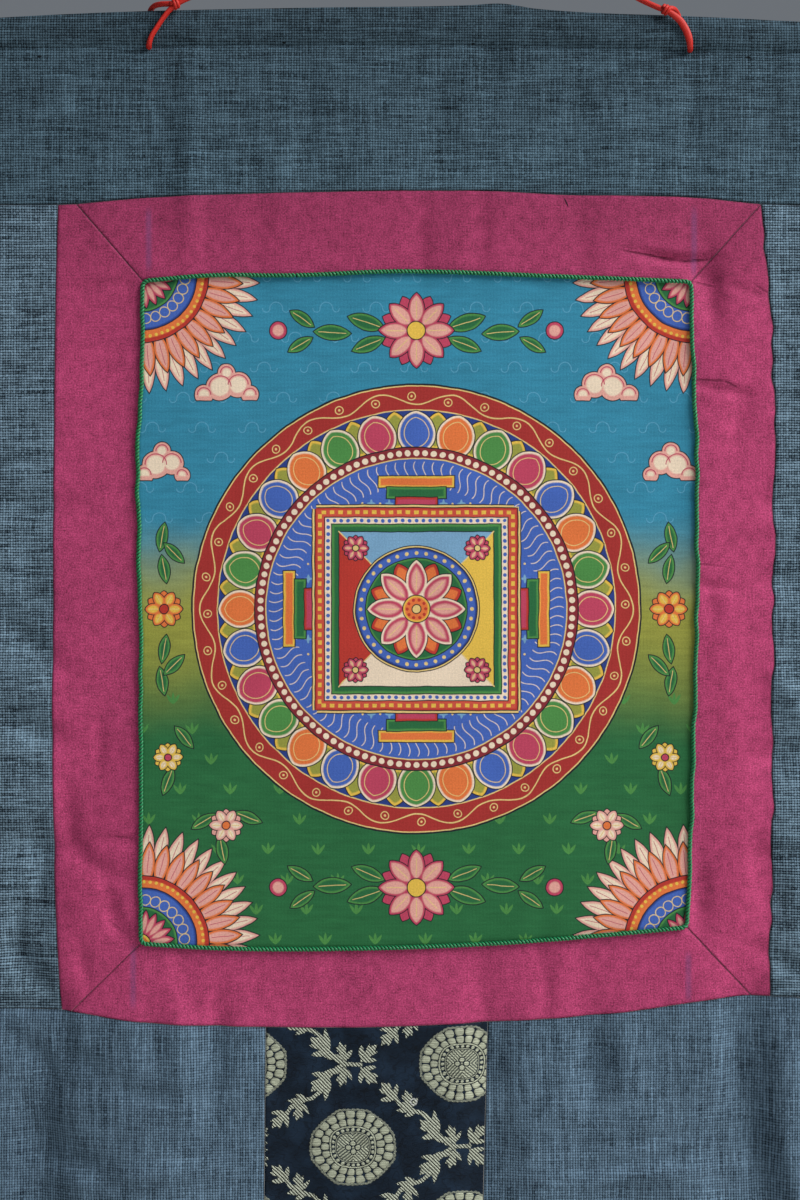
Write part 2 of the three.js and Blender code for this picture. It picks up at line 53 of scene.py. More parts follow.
# Camera: the photograph takes in 400 by 600 mm of the cloth, seen face on.
VIEW_CENTRE = (-8, 0, -360)
VIEW_TALL = 600
CAMERA_AWAY = 1100
SENSOR = 36


def make_camera():
    data = bpy.data.cameras.new("camera")
    data.sensor_width = SENSOR
    data.lens = SENSOR / 2 / (VIEW_TALL / 2 / CAMERA_AWAY)
    camera = bpy.data.objects.new("camera", data)
    camera.location = Vector(VIEW_CENTRE) * MM + Vector((0, -CAMERA_AWAY * MM, 0))
    camera.rotation_euler = (math.radians(90), 0, 0)
    bpy.context.scene.collection.objects.link(camera)
    bpy.context.scene.camera = camera


make_camera()


# Meshes
def new_piece(name, vertices, faces, material, slot, threads=None, crevice=None):
    """A mesh object of vertices in millimetres. threads is a vector for each, crevice a painted shade for
    each.
    """
    mesh = bpy.data.meshes.new(name)
    mesh.from_pydata((np.asarray(vertices) * MM).tolist(), [], faces)
    mesh.materials.append(material)
    mesh.polygons.foreach_set("use_smooth", [True] * len(mesh.polygons))
    if threads is not None:
        layer = mesh.attributes.new("thread", "FLOAT_VECTOR", "POINT")
        layer.data.foreach_set("vector", np.asarray(threads, float).ravel())
    if crevice is not None:
        layer = mesh.attributes.new("crevice", "FLOAT", "POINT")
        layer.data.foreach_set("value", np.tile(crevice.ravel(), 2))
    piece = bpy.data.objects.new(name, mesh)
    bpy.context.scene.collection.objects.link(piece)
    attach(piece, "root")
    return piece


def new_tube(name, shape, material, slot):
    vertices, faces, threads = shape
    return new_piece(name, vertices, faces, material, slot, threads)


def grid_faces(rows, columns, start=0, flip=False, around=False):
    """Quads over a grid of points, a row after another. around joins its last column to its first."""
    row, column = np.meshgrid(np.arange(rows - 1), np.arange(columns - (not around)), indexing="ij")
    beside = (column + 1) % columns
    corners = [row * columns + column, row * columns + beside,
               (row + 1) * columns + beside, (row + 1) * columns + column]
    quads = np.stack(corners, -1).reshape(-1, 4) + start
    return quads[:, ::-1] if flip else quads


def closed_sheet(front, back):
    """Vertices and faces of a closed sheet between two grids of points."""
    rows, columns = front.shape[:2]
    side = rows * columns
    index = np.arange(side).reshape(rows, columns)
    rim = np.concatenate([index[0, :-1], index[:-1, -1], index[-1, :0:-1], index[:0:-1, 0]])
    after = np.roll(rim, -1)
    walls = np.stack([rim, rim + side, after + side, after], -1)
    faces = [grid_faces(rows, columns), grid_faces(rows, columns, side, flip=True), walls]
    return np.concatenate([front.reshape(-1, 3), back.reshape(-1, 3)]), np.concatenate(faces).tolist()


def frames_along(path):
    """The tangent and two normals at each point of a path, turned as little as they can be."""
    tangent = np.gradient(path, axis=0)
    tangent /= np.linalg.norm(tangent, axis=1, keepdims=True)
    side = np.cross(tangent[0], (0.0, 1.0, 0.0))
    sides = []
    for t in tangent:
        side = side - t * side.dot(t)
        side = side / np.linalg.norm(side)
        sides.append(side)
    sides = np.array(sides)
    return tangent, sides, np.cross(tangent, sides)


def tube(path, wide, deep, around=12):
    """Vertices, faces and threads of a closed tube along a path. wide and deep may change along it."""
    _, side, lift = frames_along(path)
    angle = np.linspace(0, FULL_TURN, around, endpoint=False)
    wide, deep = (np.broadcast_to(a, len(path))[:, None, None] for a in (wide, deep))
    ring = wide * np.cos(angle)[None, :, None] * side[:, None]
    ring = ring + deep * np.sin(angle)[None, :, None] * lift[:, None]
    points = (path[:, None] + ring).reshape(-1, 3)
    faces = grid_faces(len(path), around, flip=True, around=True).tolist()
    last = (len(path) - 1) * around
    faces += [list(range(around)), list(range(last + around - 1, last - 1, -1))]
    gone = np.concatenate([[0], np.cumsum(np.linalg.norm(np.diff(path, axis=0), axis=1))])
    gone, turn = np.repeat(gone, around), np.tile(angle, len(path))
    return points, faces, np.stack([gone, np.cos(turn), np.sin(turn)], -1)


def smooth_path(points, steps):
    """A smooth path through given points, with some steps from each to the next."""
    points = np.array(points, float)
    ends = np.concatenate([[2 * points[0] - points[1]], points, [2 * points[-1] - points[-2]]])
    a, b, c, d = ends[:-3], ends[1:-2], ends[2:-1], ends[3:]
    t = (np.arange(steps) / steps)[None, :, None]
    a, b, c, d = (p[:, None] for p in (a, b, c, d))
    path = b + (c - a) / 2 * t + (a - 2.5 * b + 2 * c - d / 2) * t**2
    path = path + (1.5 * (b - c) + (d - a) / 2) * t**3
    return np.concatenate([path.reshape(-1, 3), points[-1:]])


def merged(shapes):
    """Several tubes as one shape."""
    vertices, faces, threads, start = [], [], [], 0
    for points, polygons, lines in shapes:
        vertices.append(points)
        threads.append(lines)
        faces += [[k + start for k in polygon] for polygon in polygons]
        start += len(points)
    return np.concatenate(vertices), faces, np.concatenate(threads)


# Seams and hems, the curves that the pieces were sewn along
def ripple(x, z, cell_x, cell_z, seed):
    """Smooth seeded unevenness from -1 to 1, with bumps about one cell long each way."""
    table = np.random.default_rng(seed).uniform(-1, 1, (64, 64))
    u, v = np.asarray(x) / cell_x + 500, np.asarray(z) / cell_z + 500
    i, j = np.floor(u).astype(int), np.floor(v).astype(int)
    p, q = u - i, v - j
    p, q = p * p * (3 - 2 * p), q * q * (3 - 2 * q)
    corner = [[table[(i + di) % 64, (j + dj) % 64] for dj in (0, 1)] for di in (0, 1)]
    low = corner[0][0] * (1 - p) + corner[1][0] * p
    high = corner[0][1] * (1 - p) + corner[1][1] * p
    return low * (1 - q) + high * q


def smooth_step(value, low, high):
    share = np.clip((value - low) / (high - low), 0, 1)
    return share * share * (3 - 2 * share)


def curve(*points):
    """A smooth curve through (where, value) points, level past its ends."""
    at, value = np.array(sorted(points), float).T
    secant = np.diff(value) / np.diff(at)
    slope = np.concatenate([secant[:1], (secant[1:] + secant[:-1]) / 2, secant[-1:]])

    def read(where):
        where = np.clip(where, at[0], at[-1])
        k = np.clip(np.searchsorted(at, where) - 1, 0, len(at) - 2)
        step = at[k + 1] - at[k]
        p = (where - at[k]) / step
        ends = value[k] * (1 + 2 * p) * (1 - p) ** 2 + value[k + 1] * p * p * (3 - 2 * p)
        return ends + step * p * (1 - p) * (slope[k] * (1 - p) - slope[k + 1] * p)

    return read


def uneven(edge, low, high, depth, cell, seed):
    """An upright edge that wanders a little, as sewn cloth does, but for its two ends."""

    def read(z):
        inner = smooth_step(z, low, low + 20) * smooth_step(-z, -high, 20 - high)
        return edge(z) + depth * inner * ripple(0, z, 1, cell, seed)

    return read


top_edge = curve((-250, -71.4), (-158, -66.5), (-58, -64), (27, -62.7), (42, -61.8),
                 (60, -64.5), (142, -68.5), (250, -73.8))
pocket_stitch = curve((-250, -85.5), (-133, -83), (0, -82.3), (60, -83), (137, -84.8), (250, -88))
header_seam = curve((-250, -161), (-179, -162.5), (-133, -159), (-58, -156.3), (42, -155.8),
                    (72, -157.4), (142, -159), (172, -162), (250, -162.5))
base_seam = curve((-252, -565.2), (-177.5, -565.2), (-138, -570.5), (-55, -573.5), (-8, -573),
                  (98, -566.8), (163, -558.2), (177, -558.2), (252, -559.5))
bottom_hem = curve((-252, -789), (-140, -791), (20, -790), (130, -788.5), (252, -790.5))
left_hem = curve((-160, HEM_LEFT), (-330, -249), (-566, -250.5), (-790, -252))
right_hem = curve((-160, HEM_RIGHT), (-350, 250.6), (-560, 249.4), (-790, 251.5))
pink_left = curve((-162.5, -179), (-210, -180.2), (-340, -181.4), (-490, -181.2), (-540, -179),
                  (-565.2, -177.5))
pink_right = curve((-162, 172.5), (-211, 177), (-265, 179), (-410, 178.2), (-505, 178),
                   (-558.2, 177.3))
TOP_LEFT, TOP_RIGHT = (-136.5, -200.8), (137.3, -201.2)
BOTTOM_LEFT, BOTTOM_RIGHT = (-137.2, -531.2), (135.2, -523.4)
painting_top = curve(TOP_LEFT, (-101, -198), (-61, -198.1), (-8, -196.1), (68, -198.5), TOP_RIGHT)
painting_bottom = curve(BOTTOM_LEFT, (-106, -533.3), (-68, -534.2), (27, -532), (74, -528.9),
                        BOTTOM_RIGHT)
painting_left = curve(TOP_LEFT[::-1], (-252, -136.9), (-278, -138.5), (-340, -138.3),
                      (-410, -137.2), (-490, -137.5), BOTTOM_LEFT[::-1])
painting_right = curve(TOP_RIGHT[::-1], (-240, 138.3), (-290, 140), (-410, 139), (-485, 136.8),
                       BOTTOM_RIGHT[::-1])
pink_right = uneven(pink_right, -556, -166, 1.0, 8, 5)
painting_left = uneven(painting_left, -528, -204, 0.6, 9, 6)
painting_right = uneven(painting_right, -520, -204, 0.6, 9, 8)
door_left = curve((-573, -75), (-660, -75.8), (-790, -76.6))
door_right = curve((-571, 36), (-660, 33.6), (-790, 31))

MITRE_TOP_LEFT, MITRE_TOP_RIGHT = -170, 172.5
MITRE_BOTTOM_LEFT, MITRE_BOTTOM_RIGHT = -172.5, 168
PINK_TOP_LEFT, PINK_BOTTOM_LEFT, PINK_BOTTOM_RIGHT = -179, -177.5, 177.3
DOOR_TOP_LEFT, DOOR_TOP_RIGHT = -75, 36
FOOT_LEFT, FOOT_DOOR_LEFT, FOOT_DOOR_RIGHT, FOOT_RIGHT = -252, -76.6, 31, 251.5

# Folds: x, z, lean from upright in degrees, reach along and across, stand out to the front.
FOLDS = [
    (37, -120, 4, 26, 11, 0.9), (-150, -125, -8, 30, 24, 1.2), (190, -128, 6, 34, 20, -1.4),
    (-243, -300, 1, 110, 11, 3), (-198, -368, 62, 22, 10, -1.6), (-197, -420, 74, 24, 12, 1.8),
    (-200, -476, 80, 24, 10, -1.8), (-195, -530, 22, 24, 10, -2.4), (-160, -440, 10, 26, 10, -1.4),
    (-163, -505, 40, 20, 10, 1.2), (160, -225, 12, 40, 10, 1.2), (160, -430, -6, 60, 9, 1.3),
    (187, -340, 70, 20, 12, -1.6), (190, -440, 66, 24, 12, -1.8), (240, -390, 0, 120, 12, 3.2),
    (210, -520, -14, 36, 12, 2.2), (0, -365, 0, 150, 110, 2), (-174, -640, 2, 62, 11, -4),
    (-215, -660, -3, 70, 16, 3.6), (-128, -680, 4, 70, 18, 3), (-92, -602, 1, 26, 10, 1.6),
    (-20, -700, 0, 80, 24, 2.2), (43, -595, 0, 24, 10, -2), (98, -600, 2, 30, 12, -1.8),
    (122, -650, -36, 34, 13, 2.6), (149, -585, 0, 26, 10, 1.8), (170, -612, 2, 56, 9, -5),
    (212, -640, -4, 60, 15, 3.6), (75, -735, -3, 60, 20, 3.4), (160, -740, 3, 56, 18, 4),
    (-235, -755, 6, 46, 16, -2.6), (118, -765, 0, 44, 13, -3),
]

# Creases and small dents, in the same columns. They are pressed in, so they reach the flat parts too.
CREASES = [
    # grey header
    (-168, -135, 0, 30, 4, -0.7), (-113, -135, 0, 32, 4.5, 1.5), (-55, -130, 2, 26, 4, -0.8),
    (12, -125, 0, 24, 6, -0.7), (37, -100, 3, 34, 4, -0.9), (100, -128, 2, 20, 8, 0.7),
    (139, -120, 0, 34, 4, -0.9), (176, -100, 4, 30, 5, -0.8),
    # under the pocket
    (-129, -82.5, 90, 10, 1.7, -1.1), (-68, -82, 90, 4, 1.7, -0.8), (32, -81.5, 90, 6, 1.7, -0.9),
    (77, -83, 94, 16, 1.7, -0.9), (129, -85, 93, 14, 1.7, -1.1),
    # left strip
    (-195, -313, 86, 15, 4.5, -1.9), (-195, -340, -22, 22, 5, -1.3),
    (-195, -380, -52, 15, 4.5, -2.9), (-194, -423, -66, 14, 5.5, -3.2),
    (-193, -484, 86, 15, 5, -3.2), (-188, -497, 0, 14, 4, -2.6), (-200, -517, 0, 13, 4, -2.4),
    (-204, -537, 90, 9, 3, -1.4), (-193, -545, -37, 14, 4, -3.2), (-195, -563, 90, 16, 3.5, -2.0),
    # right strip
    (188, -312, 90, 12, 4, -2.0), (188, -351, 84, 12, 4, -2.0), (187, -409, -30, 13, 5, 2.8),
    (187, -437, 84, 12, 4, -2.6), (187, -488, 90, 12, 3.5, -2.2), (178, -508, 0, 14, 5, -2.2),
    (185, -541, -65, 12, 3.5, -2.4),
    # pink, top and foot
    (-78, -178, 3, 18, 5, -0.6), (2, -178, -2, 18, 4, -0.7), (32, -178, 2, 18, 4, -0.7),
    (82, -178, -4, 18, 5, -0.7), (122, -188.4, -80, 9, 1.6, -1.8), (136, -189.6, 89, 12, 1.6, -1.6),
    (-115, -548, -8, 16, 4, -0.9), (-38, -552, 0, 16, 6, -0.7), (32, -552, 2, 16, 4, -0.9),
    (64, -548, -4, 16, 4, -0.9), (82, -548, 6, 16, 4, -0.7),
    # pink, left
    (-152, -203, 85, 18, 1.8, -0.8), (-158, -431, 0, 9, 2.6, -0.9), (-174, -467, -6, 12, 3.5, -1.4),
    (-149, -480, 87, 9, 1.8, -0.9), (-168, -486, -30, 7, 3, -1.0), (-155, -495, -70, 9, 3, -1.1),
    (-153, -510, -15, 9, 3, -1.2), (-148, -524, -35, 9, 2.6, -1.0), (-167, -541, -15, 8, 3, -1.0),
    # pink, right
    (147, -205, -5, 14, 4, -2.2), (141, -197, -60, 6, 3, -1.2), (164, -205, -72, 9, 1.8, -0.8),
    (151, -254.5, -78, 12, 1.8, -1.4), (162, -269, 18, 10, 4, -1.0),
    (150, -353.5, -80, 10, 1.8, -0.9), (148, -365, 0, 6, 3, -1.0), (170, -490, 0, 16, 4, -0.8),
    (142, -507, 0, 14, 4, -2.0),
    # left of the door
    (-214, -655, -3, 62, 15, -2.6), (-173, -638, 2, 54, 10, 3.4), (-189, -642, 0, 34, 9, -3.4),
    (-140, -620, 0, 60, 34, 3.6), (-222, -680, 0, 46, 36, -6.0), (-194, -585, -48, 15, 4.5, -2.6),
    (-185, -600, 0, 12, 3.5, -2.0), (-176, -576, -4, 12, 3.2, -2.0),
    (-161, -593, -61, 14, 3.5, -1.7), (-134, -607, -85, 14, 3, -1.8),
    (-188, -630, -40, 15, 9, -3.4), (-166, -641, -62, 16, 4.5, -1.6), (-130, -580, 0, 14, 4, -1.2),
    (-116, -588, 0, 18, 5, 1.4), (-99, -586, 1, 18, 4.5, -2.8), (-133, -646, 86, 26, 4, 1.6),
    (-174, -650, -74, 16, 4, 1.6),
    # right of the door
    (36, -590, 0, 16, 6, -2.4), (37, -637, 0, 36, 8, -2.2), (88, -590, 0, 17, 6, -3.2),
    (104, -586, 0, 16, 6, 2.2), (118, -645, 0, 28, 28, -2.2), (117, -630, 83, 24, 2.8, -1.8),
    (117, -640, 83, 24, 2.8, -1.8), (112, -648, 85, 26, 3, 1.8), (153, -642, -5, 24, 6, -2.2),
    (160, -588, -3, 22, 5.5, -3.4), (181, -592, -5, 26, 6, 3.0), (173, -645, -14, 26, 5, -3.2),
    (187, -645, -12, 24, 5, 2.2),
]


def stand_out(folds, x, z):
    """How far folds push the cloth to the front at each point."""
    out = np.zeros(np.broadcast(x, z).shape)
    for at_x, at_z, lean, along, wide, height in folds:
        lean = math.radians(lean)
        dx, dz = x - at_x, z - at_z
        a = (dz * math.cos(lean) + dx * math.sin(lean)) / along
        b = (dx * math.cos(lean) - dz * math.sin(lean)) / wide
        out += height * np.exp(-(a * a + b * b) / 2)
    return out


def relief(x, z):
    """How far the cloth's middle stands back from the wall plane: the folds of the solids."""
    share = np.clip((FLAT_ABOVE - np.asarray(z, float)) / (FLAT_ABOVE - FREE_BELOW), 0, 1)
    return -share * share * (3 - 2 * share) * stand_out(FOLDS, x, z)


def wrinkles(x, z):
    """Creases and fine unevenness that the solids leave out, more of it where the cloth hangs free."""
    free = np.maximum(smooth_step(np.abs(x), 168, 196), smooth_step(-z, 566, 596))
    free = free * smooth_step(-z, 150, 190)
    soft = (0.35 + 0.75 * free) * ripple(x, z, 34, 46, 1)
    soft = soft + (0.16 + 0.2 * free) * ripple(x, z, 13, 17, 2)
    return -1.2 * stand_out(CREASES, x, z) + soft


# Edges of a panel: each takes shares from 0 at its left or lower end to 1 and gives x and z.
def across(z_at, start, end):
    def read(t):
        x = start + (end - start) * t
        return np.stack([x, z_at(x)], -1)

    return read


def upward(x_at, start, end):
    def read(t):
        z = start + (end - start) * t
        return np.stack([x_at(z), z], -1)

    return read


def straight(start, end):
    start, end = np.array(start, float), np.array(end, float)
    return lambda t: start + (end - start) * t[:, None]


def chain(*pieces):
    """Edges end to end, each until its share of the whole."""
    def read(t):
        points, start = np.zeros((len(t), 2)), 0.0
        for until, edge in pieces:
            here = (t >= start) & (t <= until)
            points[here] = edge((t[here] - start) / (until - start))
            start = until
        return points

    return read


def inside(edges, u, v):
    """Points as far across and up four edges as the shares say."""
    bottom, top, left, right = edges
    ends = np.array([0.0, 1.0])
    foot, head = bottom(ends), top(ends)
    a, b = u[None, :, None], v[:, None, None]
    points = bottom(u)[None] * (1 - b) + top(u)[None] * b
    points = points + left(v)[:, None] * (1 - a) + right(v)[:, None] * a
    points = points - foot[0] * (1 - a) * (1 - b) - foot[1] * a * (1 - b)
    return points - head[0] * (1 - a) * b - head[1] * a * b


EDGE_ROWS = (0.15, 0.4, 0.75, 1.2, 1.9)


def spacing(length, cell):
    """Places along a length, close together where the edges roll over and a cell apart between."""
    middle = length - 2 * EDGE_ROWS[-1]
    inner = EDGE_ROWS[-1] + middle * np.linspace(0, 1, max(2, round(middle / cell)) + 1)
    edge = np.array([0, *EDGE_ROWS[:-1]])
    return np.concatenate([edge, inner, (length - edge)[::-1]])


TURN_UNDER = 1.4
HEM_WIDTH, HEM_RISE, HEM_SOFT = 10, 0.35, 1.5
STITCH_IN, STITCH_HALF, STITCH_DEEP = 1.8, 0.8, 0.3
CREVICE_HALF = 0.75
PUCKER, PUCKER_REACH = 0.22, 7


def rolled(away):
    """How far the face has dropped where cloth turns under at a seam, by the distance to it."""
    share = np.clip(1 - away / TURN_UNDER, 0, 1)
    return (FRONT + BACK - 0.1) * (1 - np.sqrt(1 - share**2))


def hem_rise(away):
    """How much thicker a turned hem is, with the dip of its stitches."""
    inside_hem = np.clip((HEM_WIDTH - away) / HEM_SOFT, 0, 1)
    stitches = np.exp(-(((away - HEM_WIDTH + STITCH_IN) / STITCH_HALF) ** 2))
    return HEM_RISE * inside_hem - STITCH_DEEP * stitches


def in_crevice(away):
    """How near a seam's crevice is, from 0 to 1."""
    return np.exp(-((away / CREVICE_HALF) ** 2))


# How dark the painted shade in a seam's crevice is, where it isn't SEAM_SHADE.
SEAM_SHADE = 0.42
DEEPLY_SHADED_SEAMS = {("cloth_border_right", "right"): 0.8, ("cloth_side_right", "left"): 0.8}


def cloth_sheet(name, edges, cell, material, slot, hems):
    """A sewn panel as a closed thin sheet. hems are the sides that end in a hem and not a seam."""
    ends = np.array([0.0, 0.5, 1.0])
    rough = inside(edges, ends, ends)
    wide = np.linalg.norm(rough[1, 2] - rough[1, 0])
    tall = np.linalg.norm(rough[2, 1] - rough[0, 1])
    gap = SEAM_GAP / 2
    along, up = spacing(wide - 2 * gap, cell) + gap, spacing(tall - 2 * gap, cell) + gap
    points = inside(edges, along / wide, up / tall)
    x, z = points[..., 0], points[..., 1]
    sides = {
        "left": np.broadcast_to(along[None], x.shape),
        "right": np.broadcast_to((wide - along)[None], x.shape),
        "bottom": np.broadcast_to(up[:, None], x.shape),
        "top": np.broadcast_to((tall - up)[:, None], x.shape),
    }
    base = relief(x, z) + wrinkles(x, z)
    front, back = base - FRONT, base + BACK
    crevice = np.zeros(x.shape)
    for side, away in sides.items():
        if side in hems:
            front = front + rolled(away) * 0.5 - hem_rise(away)
            back = back - rolled(away) * 0.5 + hem_rise(away)
            continue
        cells = (9, 30) if side in ("top", "bottom") else (30, 9)
        pucker = PUCKER * ripple(x, z, *cells, 8)
        front = front + rolled(away) - pucker * np.exp(-away / PUCKER_REACH)
        # Painted shade in the seam's crevice, a little uneven.
        shade = DEEPLY_SHADED_SEAMS.get((name, side), SEAM_SHADE) * (0.8 + 0.2 * ripple(x, z, 6, 6, 10))
        crevice = np.maximum(crevice, shade * in_crevice(away))
    sheet = closed_sheet(np.stack([x, front, z], -1), np.stack([x, back, z], -1))
    new_piece(name, *sheet, material, slot, crevice=crevice)


# Shaders. A Field is a number or a colour at each point of a surface.
class Field:
    def __init__(self, tree, socket):
        self.tree, self.socket = tree, socket

    def __add__(self, other):
        return calc("ADD", self, other)

    def __sub__(self, other):
        return calc("SUBTRACT", self, other)

    def __rsub__(self, other):
        return calc("SUBTRACT", other, self)

    def __mul__(self, other):
        return calc("MULTIPLY", self, other)

    def __truediv__(self, other):
        return calc("DIVIDE", self, other)

    def __neg__(self):
        return self * -1

    __radd__, __rmul__ = __add__, __mul__


def new_node(kind, values, output, **settings):
    """A node with its settings and its inputs, by name or number. Gives back one output."""
    tree = next(value.tree for value in values.values() if isinstance(value, Field))
    node = tree.nodes.new(kind)
    for setting, value in settings.items():
        setattr(node, setting, value)
    for name, value in values.items():
        if isinstance(value, Field):
            tree.links.new(value.socket, node.inputs[name])
        else:
            node.inputs[name].default_value = value
    return Field(tree, node.outputs[output])


def calc(operation, *values):
    return new_node("ShaderNodeMath", dict(enumerate(values)), 0, operation=operation)


def absolute(a):
    return calc("ABSOLUTE", a)


def least(*values):
    return functools.reduce(functools.partial(calc, "MINIMUM"), values)


def most(*values):
    return functools.reduce(functools.partial(calc, "MAXIMUM"), values)


def length(a, b):
    return calc("SQRT", calc("MULTIPLY_ADD", a, a, b * b))


def turned(x, z, degrees, middle=(0, 0)):
    """Where a point is along and beside a line through middle that is turned by degrees."""
    c, s = math.cos(math.radians(degrees)), math.sin(math.radians(degrees))
    along = calc("MULTIPLY_ADD", x, c, calc("MULTIPLY_ADD", z, s, -middle[0] * c - middle[1] * s))
    return along, calc("MULTIPLY_ADD", z, c, calc("MULTIPLY_ADD", x, -s, middle[0] * s - middle[1] * c))


def nearest(a):
    """The nearest whole number."""
    return calc("ROUND", a)


def folded(a, repeat, start=0.0):
    """The distance to the middle of the repeat that a is in."""
    a = a - start
    return a - nearest(a / repeat) * repeat


def ramp(a, low, high, to_low=0.0, to_high=1.0):
    """Goes smoothly from to_low where a is low to to_high where a is high."""
    values = {0: a, 1: low, 2: high, 3: to_low, 4: to_high}
    return new_node("ShaderNodeMapRange", values, 0, interpolation_type="SMOOTHSTEP")


def place(x, y, z=0.0):
    return new_node("ShaderNodeCombineXYZ", {0: x, 1: y, 2: z}, 0)


def noise(x, y, z=0.0, detail=2.0, rough=0.5):
    values = {"Vector": place(x, y, z), "Scale": 1.0, "Detail": detail, "Roughness": rough}
    return new_node("ShaderNodeTexNoise", values, 0)


def mixed(share, first, second):
    values = {0: share, 6: first, 7: second}
    return new_node("ShaderNodeMix", values, 2, data_type="RGBA")


def toned(tone, tint):
    """A colour made darker or lighter."""
    values = {0: 1.0, 6: tint, 7: place(tone, tone, tone)}
    return new_node("ShaderNodeMix", values, 2, data_type="RGBA", blend_type="MULTIPLY")


def pick(share, first, second):
    """first where share is 1, second where it is 0."""
    return second + (first - second) * share


def rgb(red, green, blue):
    """A colour from its values on a screen, 0 to 255."""
    parts = [value / 255 for value in (red, green, blue)]
    linear = [p / 12.92 if p <= 0.04045 else ((p + 0.055) / 1.055) ** 2.4 for p in parts]
    return (*linear, 1.0)


class Surface:
    """A material, with fields for a point's place on the cloth in millimetres."""

    def __init__(self, name):
        self.material = bpy.data.materials.new(name)
        self.material.use_nodes = True
        self.tree = self.material.node_tree
        self.shader = self.tree.nodes["Principled BSDF"]
        where = self.tree.nodes.new("ShaderNodeTexCoord")
        self.x, _, self.z = self.parts(where.outputs["Object"], 1 / MM)
        self.facing = self.parts(where.outputs["Normal"])

    def parts(self, socket, scale=1.0):
        node = self.tree.nodes.new("ShaderNodeSeparateXYZ")
        self.tree.links.new(socket, node.inputs[0])
        return [Field(self.tree, output) * scale for output in node.outputs]

    def attribute(self, name, output):
        node = self.tree.nodes.new("ShaderNodeAttribute")
        node.attribute_name = name
        return node.outputs[output]

    def threads(self):
        """What a tube laid down at a point: how far along it is, and its place around the cord."""
        return self.parts(self.attribute("thread", "Vector"))

    def crevice(self):
        """How much painted shade a seam's crevice puts on a point of the cloth, from 0 to 1."""
        return Field(self.tree, self.attribute("crevice", "Fac"))

    def out_of(self, at_x, at_z, wide, tall):
        """The distance from the middle of an oval spot: 1 on its rim."""
        return length((self.x - at_x) / wide, (self.z - at_z) / tall)

    def behind(self):
        """1 on the cloth's back and 0 on its front."""
        return ramp(self.facing[1], 0.1, 0.4)

    def finish(self, raised=None, depth=0.1, **inputs):
        """Sets the shader's inputs. raised is the relief from 0 to 1, depth its height in mm."""
        inputs.setdefault("Specular_IOR_Level", 0.12)
        for name, value in inputs.items():
            socket = self.shader.inputs[name.replace("_", " ")]
            if isinstance(value, Field):
                self.tree.links.new(value.socket, socket)
            else:
                socket.default_value = value
        if raised is not None:
            values = {"Height": raised, "Distance": depth * MM, "Strength": 1.0}
            bump = new_node("ShaderNodeBump", values, 0)
            self.tree.links.new(bump.socket, self.shader.inputs["Normal"])
        return self.material


# Grey cloth: a plain weave of heathered threads, some light, some dark, changing along their length
GREY_PITCH = 1.35
# Dark specks of stitches in the header: x, z, half width, half height
SPECKS = [
    (-188, -88.5, 1.4, 0.7), (-66, -81.5, 1.2, 0.6), (28.5, -82, 1.2, 0.6), (166, -89, 1.4, 0.8),
]
# Soft spots of painted shade on the grey cloth: x, z, half width, half height, how dark the middle stays
SHADES = [(220, -185, 45, 95, 0.86), (-245, -650, 50, 150, 0.84), (40, -640, 30, 70, 0.9)]


def grey_cloth(name, dark, light, upright, contrast, seed):
    """upright is the share of the upright threads in the pattern, from 0 to 1."""
    s = Surface(name)
    x = s.x / GREY_PITCH + noise(s.x / 12, s.z / 40, seed) * 1.2
    z = s.z / GREY_PITCH + noise(s.x / 40, s.z / 12, seed + 3) * 1.2
    column, row = nearest(x), nearest(z)
    warp = noise(column * 7.3, s.z / 26, seed + 1, 4, 0.72)
    weft = noise(s.x / 26, row * 7.3, seed + 2, 4, 0.72)
    over = absolute(folded(column + row, 2.0))
    gap_x = ramp(absolute(x - column), 0.16, 0.46) * (0.25 + upright * 0.45)
    gap_z = ramp(absolute(z - row), 0.16, 0.46) * (0.7 - upright * 0.45)
    fuzz = noise(s.x * 1.5, s.z * 1.5, seed + 7, 3, 0.7)
    patches = noise(s.x / 20, s.z / 20, seed + 6)
    thread_share = warp * upright + weft * (1 - upright)
    gaps = gap_x * (0.3 + warp) + gap_z * (0.3 + weft)
    tone = (thread_share - 0.5) * 1.7 + (pick(over, warp, weft) - 0.5) * 1.5 + (patches - 0.5) * 0.3
    value = 0.46 + (tone + (fuzz - 0.5) * 1.3 - (gaps - 0.25) * 1.1) * contrast
    # Painted shade: the grey cloth is darker towards its top, most of all on the pocket, in the soft spots
    # of SHADES and in the seams' crevices.
    broad_tone = ramp(s.z, -60, -92, 0.62, 1.0) * ramp(s.z, -90, -170, 0.84, 1.0)
    for at_x, at_z, wide, tall, left in SHADES:
        broad_tone = broad_tone * ramp(s.out_of(at_x, at_z, wide, tall), 0.2, 1.0, left, 1.0)
    colour = toned(broad_tone * (1 - s.crevice()), mixed(value, dark, light))
    for speck in SPECKS:
        colour = toned(ramp(s.out_of(*speck), 0.6, 1.0, 0.12, 1.0), colour)
    return s.finish(fuzz - (gap_x + gap_z) * 0.8, 0.3, Base_Color=colour, Roughness=0.92)


# Three copies of one grey cloth. The header's copy has darker tints: painted shade, as the hanging is
# darker towards its top.
shaded_grey_header = grey_cloth("shaded_grey_header", rgb(4, 15, 23), rgb(95, 123, 141), 0.4, 0.85, 11)
grey_side = grey_cloth("grey_side", rgb(6, 19, 29), rgb(124, 151, 171), 0.3, 1.05, 23)
grey_base = grey_cloth("grey_base", rgb(6, 20, 32), rgb(116, 144, 168), 0.72, 0.7, 35)

